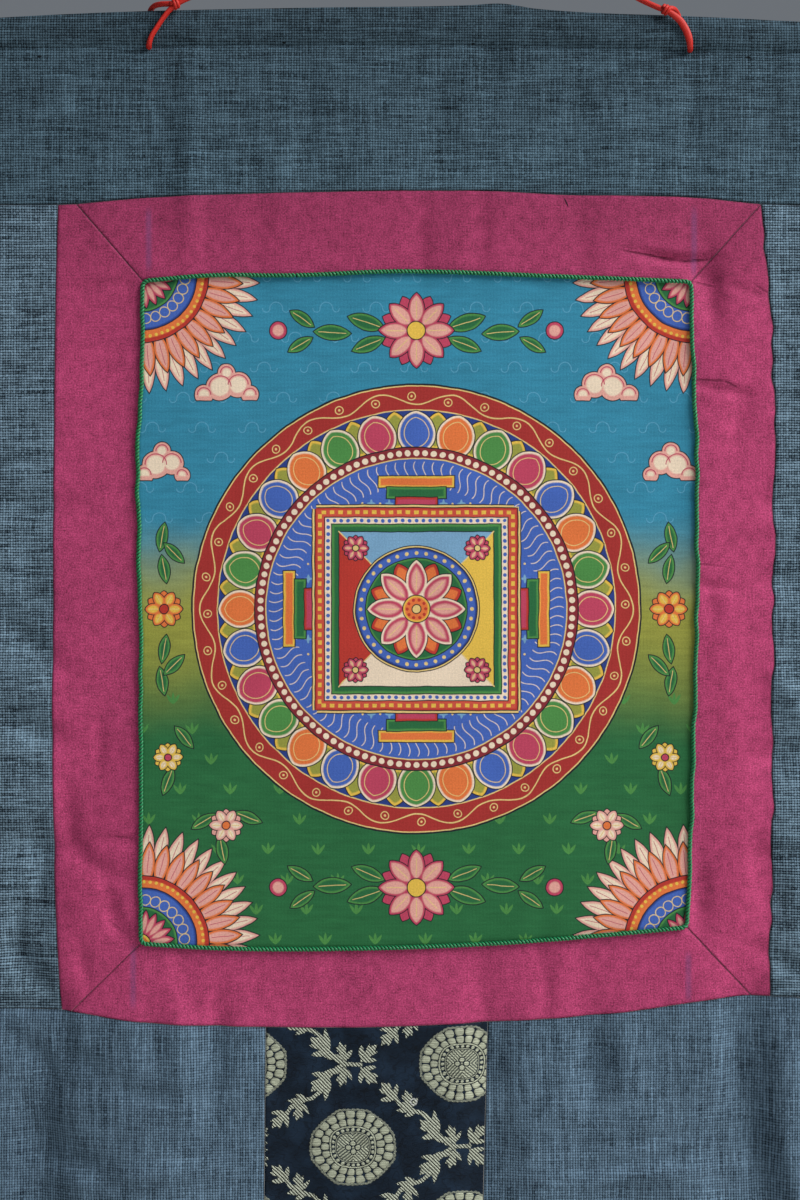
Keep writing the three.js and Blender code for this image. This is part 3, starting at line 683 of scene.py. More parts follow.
# Pink cloth: fine and close, with small slubs.
# Its sharp pressed creases: x, z, lean from upright, reach, and how dark the painted shade in each is
PRESSED = [
    (117, -187.8, -81, 19, 0.9), (139, -190.2, 86, 10, 1.0), (144, -202.2, -78, 8, 0.6),
    (172, -204.5, -56, 7, 0.35), (147, -250.4, -87, 10, 0.8), (157, -252.4, -62, 5, 0.7),
    (147, -342.8, -84, 9, 0.4), (-147, -478.6, -84, 9, 0.45), (-150, -523, -52, 7, 0.35),
]
# Faint blue upright lines that were ruled for the seams: x, z, reach
RULED = [(-133.5, -180, 18), (139, -181, 20), (-141, -548, 18), (136, -548, 14)]
# A loose end of thread at the seam above
LOOSE_END = (74.4, -160)


def pink_cloth():
    s = Surface("pink")
    fine = noise(s.x * 1.2, s.z * 1.2, 2, 3, 0.75)
    level = noise(s.x / 7, s.z * 1.2, 5)
    upright = noise(s.x * 1.2, s.z / 9, 8)
    soft = noise(s.x / 5, s.z / 6, 27, 3)
    slub = ramp(noise(s.x / 2.2, s.z * 1.4, 13), 0.66, 0.78)
    fleck = ramp(noise(s.x * 1.5, s.z * 1.6, 21), 0.62, 0.76)
    patches = noise(s.x / 30, s.z / 30, 17)
    tone = 1.05 + (fine - 0.5) * 3.0 + (level - 0.5) * 0.5 + (upright - 0.5) * 0.5
    tone = tone + (soft - 0.5) * 0.85 + (patches - 0.5) * 0.3 - slub * 0.22 - fleck * 0.4
    # Painted shade: the pink is darker towards its top, and a little darker towards its right edge.
    tone = tone * ramp(s.z, -150, -250, 0.72, 1.0) * ramp(s.x, 150, 190, 1.0, 0.93)
    lines = []
    for at_x, at_z, lean, reach, dark in PRESSED:
        away, along = turned(s.x, s.z, -lean, (at_x, at_z))
        line = ramp(absolute(away + (level - 0.5) * 1.2), 0.95, 0.15)
        lines.append(line * ramp(absolute(along), reach, reach * 0.3) * dark)
    pressed = most(*lines)
    # Painted shade in the seams' crevices and along the pressed creases.
    tone = tone * (1 - s.crevice()) * (1 - pressed * 0.55)
    colour = toned(tone, rgb(163, 60, 101))
    for at_x, at_z, reach in RULED:
        ruled = ramp(absolute(s.x - at_x), 2.4, 0.4) * ramp(absolute(s.z - at_z), reach, reach * 0.6)
        colour = mixed(ruled * (0.25 + level * 0.35), colour, rgb(112, 72, 120))
    end_x, end_z = LOOSE_END
    loose = length((s.x - end_x + (s.z - end_z) * 0.45) / 0.5, (s.z - end_z + 1.4) / 2.8)
    colour = mixed(ramp(loose, 1.0, 0.6), colour, rgb(40, 22, 34))
    raised = fine * 0.6 + level * 0.3 + upright * 0.3 - slub * 0.3 - pressed * 1.6
    return s.finish(raised, 0.3, Base_Color=colour, Roughness=0.78)


pink = pink_cloth()

# Brocade: roundels in a half-drop repeat, and leafy sprigs that cross between them
REPEAT_X, REPEAT_Z = 109, 82.5
ROUNDEL_A, ROUNDEL_B = (-31.5, -633), (23, -591.75)
ROUNDEL_WIDE, ROUNDEL_TALL = 22, 19.5

# A sprig from its crossing, whose upper half mirrors its lower one. Its leaves: x and z of the root,
# the way it grows in degrees, its length. A leaf's lobes: how far along it they start, their turn,
# their length and half width, as shares of its length. Lone lobes are given in mm.
LEAVES = [
    (3.5, 1.2, 46, 12), (-3.6, 1, 106, 10.5), (-11, 5, 140, 13.5), (-25.5, 18, 104, 10.5),
    (-32.5, 23, 132, 12),
]
LOBES = [
    (0, 0, 1, 0.17), (0.12, 50, 0.62, 0.105), (0.12, -50, 0.62, 0.105), (0.42, 32, 0.46, 0.09),
    (0.42, -32, 0.46, 0.09),
]
LONE_LOBES = [
    (-8, 2.5, 160, 8, 1.2), (-22.5, 18, 206, 7, 1.2), (-24, 18.5, 184, 9, 1.3), (-13, 9, 96, 9, 1.3),
]
STEM = [
    (4, 0), (-4, 0), (-8, 2), (-12, 6.5), (-15, 12.5), (-20, 16.8), (-26, 18.5), (-31, 21), (-34, 26),
]
STEM_HALF = 1.0
SPRIG_SHIFT = 12
# A small snagged loop of thread
SNAG_AT = (-1.2, -610.6)


def petal(a, b, wide, long):
    """The distance in mm to the outline of a petal, pointed at both ends, b along it."""
    back = (long * long - wide * wide) / (2 * wide)
    return length(absolute(a) + back, b) - (wide + back)


def beside(x, z, first, second):
    """Where a point is from the nearer of two like repeats."""
    ax, az = folded(x, REPEAT_X, first[0]), folded(z, REPEAT_Z, first[1])
    bx, bz = folded(x, REPEAT_X, second[0]), folded(z, REPEAT_Z, second[1])
    nearer = calc("LESS_THAN", length(ax, az), length(bx, bz))
    return pick(nearer, ax, bx), pick(nearer, az, bz)


def domes(r, a, number, middle, deep):
    """A ring of rounded petals: 1 at their middles, 0 on the dark outlines between."""
    sideways = absolute(folded(a, FULL_TURN / number)) * (number / math.pi)
    outward = absolute(r - middle) * (2 / deep)
    return ramp(calc("POWER", sideways, 3.0) + calc("POWER", outward, 3.0), 1.05, 0.0)


def sprig_outline(x, z, crossing):
    """The distance in mm to the outline of the sprigs at one of the two repeats' crossings."""
    u = folded(x, REPEAT_X, crossing[0] - SPRIG_SHIFT) - SPRIG_SHIFT
    v = absolute(folded(z, REPEAT_Z, crossing[1]))
    lobes = list(LONE_LOBES)
    for root_x, root_z, way, size in LEAVES:
        c, s = math.cos(math.radians(way)), math.sin(math.radians(way))
        for start, turn, share, half in LOBES:
            on_x, on_z = root_x + start * size * c, root_z + start * size * s
            lobes.append((on_x, on_z, way + turn, share * size, half * size))
    shapes = []
    for root_x, root_z, way, size, half in lobes:
        b, a = turned(u, v, way, (root_x, root_z))
        shapes.append(petal(a, b - size / 2, half, size / 2))
    for (x0, z0), (x1, z1) in zip(STEM, STEM[1:]):
        b, a = turned(u, v, math.degrees(math.atan2(z1 - z0, x1 - x0)), (x0, z0))
        past = b - least(most(b, 0.0), math.hypot(x1 - x0, z1 - z0))
        shapes.append(length(a, past) - STEM_HALF)
    jagged = absolute(folded(x, 1.3)) + absolute(folded(z, 1.3)) - 0.65
    return least(*shapes) + jagged * 0.3


def woven_brocade():
    s = Surface("brocade")
    x = s.x + (noise(s.x / 12, s.z / 12, 1) - 0.5) * 1.6
    z = s.z + (noise(s.x / 12, s.z / 12, 6) - 0.5) * 1.6
    dx, dz = beside(x, z, ROUNDEL_A, ROUNDEL_B)
    dz = dz * (ROUNDEL_WIDE / ROUNDEL_TALL)
    r, a = length(dx, dz), calc("ARCTAN2", dz, dx)
    side, end = absolute(dx), absolute(dz)
    corners = most(side + end, most(side, end) * 1.36) / 1.36
    squared = calc("POWER", calc("POWER", side, 2.7) + calc("POWER", end, 2.7), 1 / 2.7)
    outer = (r + corners * 1.03) / 2 + absolute(folded(a, FULL_TURN / 60)) * 8
    rim = ramp(outer, 22.2, 21.8)
    fibres = noise(x * 1.4, z * 1.4, 15, 2, 0.7)
    inside_rim = ramp(outer, 21.0, 20.6)
    petals = most(domes(r, a, 23, 18.3, 5.1), domes(r, a + 0.15, 21, 13.9, 4.6))
    gold = pick(inside_rim, ramp(petals, 0.1, 0.42), rim * (0.15 + fibres * 0.7))
    # shine is painted light on the petals: lighter in their middles, darker towards their outlines.
    shine = pick(inside_rim, 0.5 + petals * 0.5, 1.0)
    bead = length(folded(a, FULL_TURN / 24) * 9.8, squared - 9.8)
    line = most(ramp(absolute(squared - 11.2), 0.5, 0.25), ramp(bead, 1.1, 0.6),
                ramp(absolute(squared - 8.5), 0.35, 0.15) * 0.7)
    chevron = absolute(folded(end - side, 1.9))
    disc = ramp(squared, 8.1, 7.8) * ramp(chevron, 0.75, 0.35, 0.2, 1.0)
    flower = least(length(side - 2.3, dz), length(dx, end - 2.3))
    disc = pick(ramp(flower, 1.9, 1.7), ramp(flower, 1.5, 1.1), disc)
    centre = ramp(squared, 12.0, 11.8)
    gold = pick(centre, most(line, disc), gold)
    shine = pick(centre, 1.0, shine)

    sprig = least(sprig_outline(x, z, (ROUNDEL_A[0], ROUNDEL_B[1])),
                  sprig_outline(x, z, (ROUNDEL_B[0], ROUNDEL_A[1])))
    sprig = ramp(sprig, 0.2, -0.15) * ramp(outer, 22.3, 22.8)
    twill = ramp(absolute(folded(x + z, 1.8)), 0.3, 0.8, 1.0, 0.0)
    rows = ramp(absolute(folded(z, 1.15)), 0.2, 0.5, 1.0, 0.72)
    # sheen paints streaks of light on the metal and the sprigs' threads.
    sheen = noise(x / 4, z * 1.3, 4)
    flat = noise(x / 2.2, z * 2.0, 9)
    cloudy = ramp(noise(x / 14, z / 14, 31), 0.4, 0.7)
    ground = mixed(flat * 0.6 + cloudy * 0.4, rgb(1, 6, 14), rgb(28, 46, 66))
    metal = toned(rows * shine * (0.25 + sheen * 1.25), rgb(184, 190, 168))
    dull = toned(twill * (0.5 + sheen * 1.1), rgb(170, 176, 160))
    scrolls = ramp(absolute(noise(x / 5.5, z / 5.5, 12, 1) - 0.5), 0.0, 0.035, 0.55, 1.0)
    ground = toned(scrolls, ground)
    colour = mixed(gold, ground, metal)
    colour = mixed(sprig, colour, dull)
    loop = absolute(length(s.x - SNAG_AT[0], s.z - SNAG_AT[1]) - 1.5)
    colour = mixed(ramp(loop, 0.5, 0.25), colour, rgb(170, 174, 170))
    floats = toned(0.25 + flat * 0.5, rgb(120, 124, 112))
    colour = mixed(s.behind(), colour, mixed(most(gold, sprig), floats, ground))
    raised = most(gold * shine, sprig * twill)
    return s.finish(raised + flat * 0.15, 0.6, Base_Color=colour, Metallic=raised * 0.25,
                    Roughness=pick(raised, 0.45, 0.6))


brocade = woven_brocade()

# Painted canvas: a lotus mandala in a round band, lotus fans in the corners
MANDALA_AT = (0.2, -364.5)
HALF_WIDE, HALF_TALL = 137.5, 167
INK, GOLD, CREAM = rgb(28, 30, 38), rgb(206, 180, 118), rgb(216, 198, 176)
RED, ORANGE, ROSE, BLUSH = rgb(168, 52, 44), rgb(206, 108, 58), rgb(172, 62, 88), rgb(206, 150, 140)
BLUE, DEEP_BLUE, SKY, TEAL = rgb(62, 92, 168), rgb(40, 58, 122), rgb(110, 150, 182), rgb(48, 122, 150)
GREEN, LEAF, OLIVE, YELLOW = rgb(38, 96, 58), rgb(70, 128, 66), rgb(138, 140, 62), rgb(208, 172, 72)

# Clouds: the height of the foot, and rounds from the middle across and up with their radius.
CLOUDS = [
    (104, [(83, 107, 4.5), (89, 112, 6.5), (98, 111, 7), (106, 107, 5), (95, 118, 4.5)]),
    (64, [(117, 67, 4), (122, 73, 6), (130, 72, 7), (136, 67, 5), (127, 79, 4.5)]),
]
# Leaves in each quarter: x and z of the middle, tilt, half width and half length
LEAVES_AT_ENDS = [
    (25, 143, 18, 4.2, 10), (24, 132, -22, 3.6, 9), (42, 138, 4, 4, 9.5), (57, 145, 34, 3, 7.5),
    (58, 132, -30, 3, 7.5), (126, 20, 80, 2.9, 7.5), (127, 36, 100, 2.9, 7.5), (121, 28, 45, 2.9, 7.5),
]
LEAVES_AT_FOOT = [
    (84, -104, 20, 2.9, 7.5), (106, -106, -30, 2.9, 7.5), (97, -120, 80, 2.9, 7.5),
    (124, -86, 110, 2.9, 7.5), (116, -64, 50, 2.9, 7.5),
]
# Petals of the corner fans, outer first: how many in a quarter, where their middles lie, half length
FANS = [(11, 47, 12.5, BLUSH, CREAM), (9, 40, 11, ORANGE, BLUSH)]
# Steps of a gate of the palace: half width, low and high edge
GATES = [(19, 60.5, 66.5, YELLOW, ORANGE), (15, 55, 61, LEAF, GREEN), (10.5, 48, 56, RED, ROSE)]


class Picture:
    """Shapes painted one over another. Each is given by the distance in mm to its outline."""

    def __init__(self, x, z):
        self.x, self.z = x, z
        self.r, self.a = length(x, z), calc("ARCTAN2", z, x)
        self.colour = BLUE

    def fill(self, distance, tint, soft=0.16):
        self.colour = mixed(ramp(distance, soft, -soft), self.colour, tint)

    def line(self, distance, tint, width=0.5):
        self.fill(absolute(distance) - width / 2, tint)

    def outlined(self, distance, tint, tint_inside=None, inset=1.2):
        """A filled shape with an ink outline, and another tint inside it."""
        self.fill(distance, tint)
        if tint_inside is not None:
            self.fill(distance + inset, tint_inside, 0.5)
        self.line(distance, INK)


def round_ring(a, number, turn=0.0):
    """The angle from the middle of each of a number of equal parts, and the part's number."""
    part = (a - turn) * (number / FULL_TURN)
    count = nearest(part)
    return (part - count) * (FULL_TURN / number), count


def rosette(picture, x, z, reach, number, tint, inside, heart):
    """A flower seen from above, with two rows of petals."""
    r, a = length(x, z), calc("ARCTAN2", z, x)
    half = reach * 0.42
    width = min(half * 0.8, math.pi * (reach - half) / number * 1.02)
    angle, _ = round_ring(a, number, math.pi / number)
    picture.outlined(petal(angle * r, r - (reach - half) * 0.95, width, half), tint, tint, 1)
    angle, _ = round_ring(a, number)
    picture.outlined(petal(angle * r, r - (reach - half), width, half), tint, inside)
    picture.line(most(absolute(angle * r), absolute(r - reach * 0.55) - reach * 0.22), GOLD, 0.4)
    picture.outlined(r - reach * 0.24, heart)


def paint_leaf(picture, x, z, at_x, at_z, tilt, wide, long):
    """A leaf with a gold vein. Where x or z is mirrored, it is one of a pair."""
    a, b = turned(x, z, tilt, (at_x, at_z))
    picture.outlined(petal(b, a, wide, long), LEAF, GREEN)
    picture.line(most(absolute(b), absolute(a) - long * 0.7), GOLD, 0.35)


def paint_ground(picture):
    """A teal sky over an olive strip and a green foot."""
    x, z = picture.x, picture.z
    height = z + (noise(x / 40, z / 40, 2) - 0.5) * 26
    colour = mixed(ramp(height, -70, -5), GREEN, OLIVE)
    colour = mixed(ramp(height, -5, 50), colour, TEAL)
    stroke = noise(x / 16, z / 2.5, 6, 3)
    picture.colour = toned(0.75 + stroke * 0.5, colour)


def paint_tufts(picture):
    """Small wisps in the sky and tufts of grass on the ground, in staggered rows."""
    x, z = picture.x, picture.z
    row = nearest(z / 15)
    side, up = folded(x + row * 9.5, 25.0), z - row * 15
    wisp = least(most(absolute(length(side, up) - 3.2), -up),
                 most(absolute(length(side - 4.9, up) - 1.7), up),
                 most(absolute(length(side + 5.0, up) - 1.8), up))
    picture.fill(most(wisp - 0.22, 42 - z), rgb(80, 142, 172))
    blades = []
    for lean in (-34, 0, 34):
        blade_x, blade_z = turned(side, up + 2.5, lean)
        blades.append(petal(blade_x, blade_z - 3, 0.75, 3))
    picture.fill(most(least(*blades), z + 34), LEAF)


def paint_corners(picture):
    """A quarter of a lotus in each corner."""
    x, z = picture.x, picture.z
    from_side, from_end = HALF_WIDE - absolute(x), HALF_TALL - absolute(z)
    r = length(from_side, from_end)
    a = calc("ARCTAN2", from_end, from_side)
    for number, middle, long, tint, inside in FANS:
        step = math.pi / 2 / number
        angle = folded(a, step, step / 2)
        picture.outlined(petal(angle * r, r - middle, middle * step * 0.52, long), tint, inside)
        picture.line(most(absolute(angle * r), absolute(r - middle - 1) - long * 0.5), ROSE, 0.3)
    picture.outlined(r - 34, RED, ORANGE, 2.2)
    picture.fill(length(folded(a, math.pi / 32, math.pi / 64) * 31, r - 31) - 0.8, YELLOW)
    picture.outlined(r - 28, DEEP_BLUE, BLUE, 1)
    scallop = folded(a, math.pi / 14, math.pi / 28)
    picture.line(length(scallop * 23.5, r - 22) - 2.6, GOLD, 0.45)
    picture.outlined(r - 18.5, LEAF, GREEN)
    step = math.pi / 10
    picture.outlined(petal(folded(a, step, step / 2) * r, r - 10.5, 2.4, 6.5), ROSE, BLUSH)
    picture.outlined(r - 5, YELLOW, ORANGE)


def paint_clouds(picture):
    """Flat-bottomed banks of round clouds, rosy and outlined."""
    side, z = absolute(picture.x), picture.z
    for foot, puffs in CLOUDS:
        rounds = [length(side - at_x, z - at_z) - radius for at_x, at_z, radius in puffs]
        bank = most(foot - z, least(*rounds))
        picture.outlined(bank, BLUSH, CREAM, 2.4)
        for puff, (_, at_z, _) in zip(rounds, puffs):
            picture.fill(most(absolute(puff + 1.5) - 0.25, at_z - z, bank + 1.2), ROSE)


def paint_flowers(picture):
    """A lotus with leaves at the top and foot, and small flowers at the sides."""
    side, z, end = absolute(picture.x), picture.z, absolute(picture.z)
    for leaf in LEAVES_AT_ENDS:
        paint_leaf(picture, side, end, *leaf)
    for leaf in LEAVES_AT_FOOT:
        paint_leaf(picture, side, z, *leaf)
    picture.outlined(length(side - 69, end - 139) - 4.4, ROSE, BLUSH, 1.6)
    rosette(picture, picture.x, end - 139, 19, 8, ROSE, BLUSH, YELLOW)
    rosette(picture, side - 126, z, 9.5, 6, ORANGE, YELLOW, RED)
    rosette(picture, side - 95, z + 108, 8.5, 6, BLUSH, CREAM, ORANGE)
    rosette(picture, side - 124, z + 74, 7.5, 6, YELLOW, CREAM, ROSE)


def paint_bands(picture):
    """The round bands: red with a gold scroll, lotus petals of four colours, and pearls."""
    r, a = picture.r, picture.a
    picture.fill(r - 112.5, INK)
    picture.fill(r - 111.6, GOLD)
    picture.fill(r - 111, rgb(150, 46, 44))
    angle, _ = round_ring(a, 36)
    swing = calc("COSINE", a * 18.0) * 3
    picture.line(r - 105.2 - swing, GOLD, 0.7)
    bud = length(angle * 105 - 2.4, r - 105.2 + swing * 0.35)
    picture.line(bud - 1.9, GOLD, 0.5)
    picture.fill(bud - 0.6, GOLD)
    picture.fill(r - 99.6, GOLD)
    picture.fill(r - 99, DEEP_BLUE)
    angle, count = round_ring(a, 28)
    kind = calc("FLOORED_MODULO", count, 4.0)
    tint = ROSE
    for number, other in enumerate((LEAF, ORANGE, BLUE)):
        tint = mixed(calc("GREATER_THAN", kind, number + 0.5), tint, other)
    behind, _ = round_ring(a, 28, math.pi / 28)
    picture.outlined(petal(behind * r, r - 89.5, 6.4, 9.5), YELLOW, OLIVE, 1.5)
    lotus = petal(angle * r, r - 88, 9.6, 11)
    picture.outlined(lotus, CREAM, tint, 1.3)
    picture.line(lotus + 3.4, GOLD, 0.4)
    picture.fill(r - 81, INK)
    picture.fill(r - 80.4, rgb(120, 40, 48))
    angle, _ = round_ring(a, 112)
    picture.fill(length(angle * 77.8, r - 77.8) - 1.5, CREAM)


def paint_rays(picture):
    """A blue ring with wavy rays."""
    r, a = picture.r, picture.a
    picture.fill(r - 75.4, GOLD)
    picture.fill(r - 74.8, BLUE)
    wave = calc("SINE", r * 0.42) * 0.02
    rays = absolute(folded(a + wave, FULL_TURN / 96)) * r
    picture.fill(most(rays - 0.2, absolute(r - 67.5) - 6), CREAM, 0.25)


def paint_blooms(picture):
    """Small crosses and dots around the palace."""
    x, z, r = picture.x, picture.z, picture.r
    row = nearest(z / 7.5)
    sideways, up = folded(x + row * 4.5, 9.0), z - row * 7.5
    bloom = least(length(sideways * 0.42, up * 1.35), length(sideways * 1.35, up * 0.42)) - 0.9
    picture.fill(most(bloom, r - 60), SKY)
    picture.fill(most(length(absolute(sideways) - 4.5, up) - 0.55, r - 60), GOLD)


def paint_palace(picture):
    """A square with a gate on each side, and four coloured quarters."""
    x, z = picture.x, picture.z
    side, end = absolute(x), absolute(z)
    out, along = most(side, end), least(side, end)
    for half, low, high, tint, inside in GATES:
        picture.outlined(most(along - half, out - high, low - out), tint, inside)
    picture.outlined(out - 52, GOLD)
    picture.outlined(out - 50.6, RED, rgb(186, 74, 60), 1)
    picture.fill(most(absolute(folded(along, 4.2)) - 1.1, absolute(out - 48.2) - 0.9), YELLOW)
    picture.outlined(out - 45.8, CREAM)
    picture.fill(length(folded(along, 3.4), out - 44.1) - 0.95, BLUE)
    picture.outlined(out - 42.4, LEAF, GREEN, 1.4)
    upright = calc("GREATER_THAN", end, side)
    level_tint = mixed(calc("GREATER_THAN", x, 0.0), RED, YELLOW)
    upright_tint = mixed(calc("GREATER_THAN", z, 0.0), CREAM, SKY)
    picture.outlined(out - 38.6, mixed(upright, level_tint, upright_tint))
    picture.line(most(absolute(side - end) * 0.7, out - 38.6), GOLD, 0.6)
    rosette(picture, side - 30.4, end - 30.4, 6.6, 6, ROSE, BLUSH, GOLD)


def paint_lotus(picture):
    """The blue ring with gold dots, and the eight-petalled lotus in it."""
    r, a = picture.r, picture.a
    picture.outlined(r - 31.5, GOLD)
    picture.outlined(r - 30.4, DEEP_BLUE, BLUE, 1)
    angle, _ = round_ring(a, 36)
    picture.fill(length(angle * 27.8, r - 27.8) - 0.95, GOLD)
    picture.outlined(r - 25.4, LEAF, GREEN, 1)
    angle, _ = round_ring(a, 8, math.pi / 8)
    picture.outlined(petal(angle * r, r - 15.5, 5.4, 9), RED, ORANGE, 1.6)
    angle, _ = round_ring(a, 8)
    front = petal(angle * r, r - 14.5, 5.6, 10.2)
    picture.outlined(front, CREAM, ROSE, 1.3)
    picture.fill(front + 3.0, BLUSH, 0.8)
    picture.line(most(absolute(angle * r), absolute(r - 14) - 5), GOLD, 0.4)
    picture.outlined(r - 6.8, YELLOW, ORANGE, 1)
    angle, _ = round_ring(a, 10)
    picture.fill(length(angle * 4.6, r - 4.6) - 0.8, RED)
    picture.outlined(r - 2.2, GOLD)


# Parts of the picture, each with a material of its own: its name, how far out from the middle of the
# mandala it reaches in mm, and what is painted there.
CANVAS_PARTS = [
    ("canvas_outside", math.inf,
     (paint_ground, paint_tufts, paint_clouds, paint_corners, paint_flowers)),
    ("canvas_bands", 114.9, (paint_ground, paint_tufts, paint_bands, paint_rays)),
    ("canvas_palace", 72.2, (paint_rays, paint_blooms, paint_palace, paint_lotus)),
]


def painted_canvas(name, painters):
    s = Surface(name)
    x = s.x - MANDALA_AT[0] + (noise(s.x / 11, s.z / 11, 1) - 0.5) * 1.1
    z = s.z - MANDALA_AT[1] + (noise(s.x / 11, s.z / 11, 5) - 0.5) * 1.1
    picture = Picture(x, z)
    for paint in painters:
        paint(picture)
    wear = noise(s.x * 1.3, s.z * 1.3, 3, 3, 0.7)
    cloudy = noise(s.x / 22, s.z / 22, 8)
    colour = toned(0.58 + wear * 0.8 + cloudy * 0.3, picture.colour)
    weave = absolute(folded(s.x, 0.7)) + absolute(folded(s.z, 0.7))
    sized = toned(0.7 + wear * 0.3 + cloudy * 0.3, rgb(186, 176, 156))
    colour = mixed(s.behind(), colour, sized)
    return s.finish(weave + wear * 0.6, 0.12, Base_Color=colour, Roughness=0.72)


canvas = [painted_canvas(name, painters) for name, _, painters in CANVAS_PARTS]


def wear_canvas(piece):
    """Gives each face of the painting the material of its part."""
    mesh = piece.data
    centres = np.empty(3 * len(mesh.polygons))
    mesh.polygons.foreach_get("center", centres)
    centres = centres.reshape(-1, 3) / MM
    out = np.hypot(centres[:, 0] - MANDALA_AT[0], centres[:, 2] - MANDALA_AT[1])
    part = np.zeros(len(out), int)
    for number, (_, reach, _) in enumerate(CANVAS_PARTS):
        part[out < reach] = number
    for material in canvas[1:]:
        mesh.materials.append(material)
    mesh.polygons.foreach_set("material_index", part)


# Cords. Their fibres follow the threads that a tube lays down.
def twisted_cord():
    s = Surface("green")
    along, c, out = s.threads()
    fibre = noise(along * 1.6 + c * 0.8, c * 3 + along * 1.2, 2)
    broad_tone = noise(s.x / 9, s.z / 9, 4)
    # Painted shade in the groove between the plies, and a painted highlight on their crests.
    tone = (0.1 + fibre * 1.4 + broad_tone * 0.4) * ramp(out, 0.6, 0.97, 0.02, 1.8)
    return s.finish(fibre, 0.12, Base_Color=toned(tone, rgb(12, 92, 54)), Roughness=0.42,
                    Specular_IOR_Level=0.4)


def satin():
    s = Surface("red")
    along, c, d = s.threads()
    # Painted sheen: soft streaks along the cord's length.
    sheen_streak = noise(along / 6, c * 5, d * 5, 2)
    tone = 0.86 + sheen_streak * 0.28
    return s.finish(sheen_streak, 0.08, Base_Color=toned(tone, rgb(168, 34, 27)), Roughness=0.5,
                    Specular_IOR_Level=0.2)


green, red = twisted_cord(), satin()

# Cloth panels: the cells of their grids in mm, and the corners where seams meet
CELL, PINK_CELL, DOOR_CELL, CANVAS_CELL = 2.6, 1.5, 2, 2.4
outer_top_left = (MITRE_TOP_LEFT, header_seam(MITRE_TOP_LEFT))
outer_top_right = (MITRE_TOP_RIGHT, header_seam(MITRE_TOP_RIGHT))
outer_bottom_left = (MITRE_BOTTOM_LEFT, base_seam(MITRE_BOTTOM_LEFT))
outer_bottom_right = (MITRE_BOTTOM_RIGHT, base_seam(MITRE_BOTTOM_RIGHT))
seam_left, seam_right = base_seam(HEM_LEFT), base_seam(HEM_RIGHT)
CORNER_SHARE = 1 / 26

# Edges that two panels share
pink_left_edge = upward(pink_left, base_seam(PINK_BOTTOM_LEFT), header_seam(PINK_TOP_LEFT))
pink_right_edge = upward(pink_right, base_seam(PINK_BOTTOM_RIGHT), header_seam(MITRE_TOP_RIGHT))
door_left_edge = upward(door_left, bottom_hem(FOOT_DOOR_LEFT), base_seam(DOOR_TOP_LEFT))
door_right_edge = upward(door_right, bottom_hem(FOOT_DOOR_RIGHT), base_seam(DOOR_TOP_RIGHT))
painting_foot = across(painting_bottom, BOTTOM_LEFT[0], BOTTOM_RIGHT[0])
painting_head = across(painting_top, TOP_LEFT[0], TOP_RIGHT[0])
painting_left_edge = upward(painting_left, BOTTOM_LEFT[1], TOP_LEFT[1])
painting_right_edge = upward(painting_right, BOTTOM_RIGHT[1], TOP_RIGHT[1])
mitre_top_left = straight(TOP_LEFT, outer_top_left)
mitre_top_right = straight(TOP_RIGHT, outer_top_right)

GREY_SIDE = (CELL, grey_side, "grey_cloth")
GREY_BASE = (CELL, grey_base, "grey_cloth")
PINK = (PINK_CELL, pink, "pink_cloth")
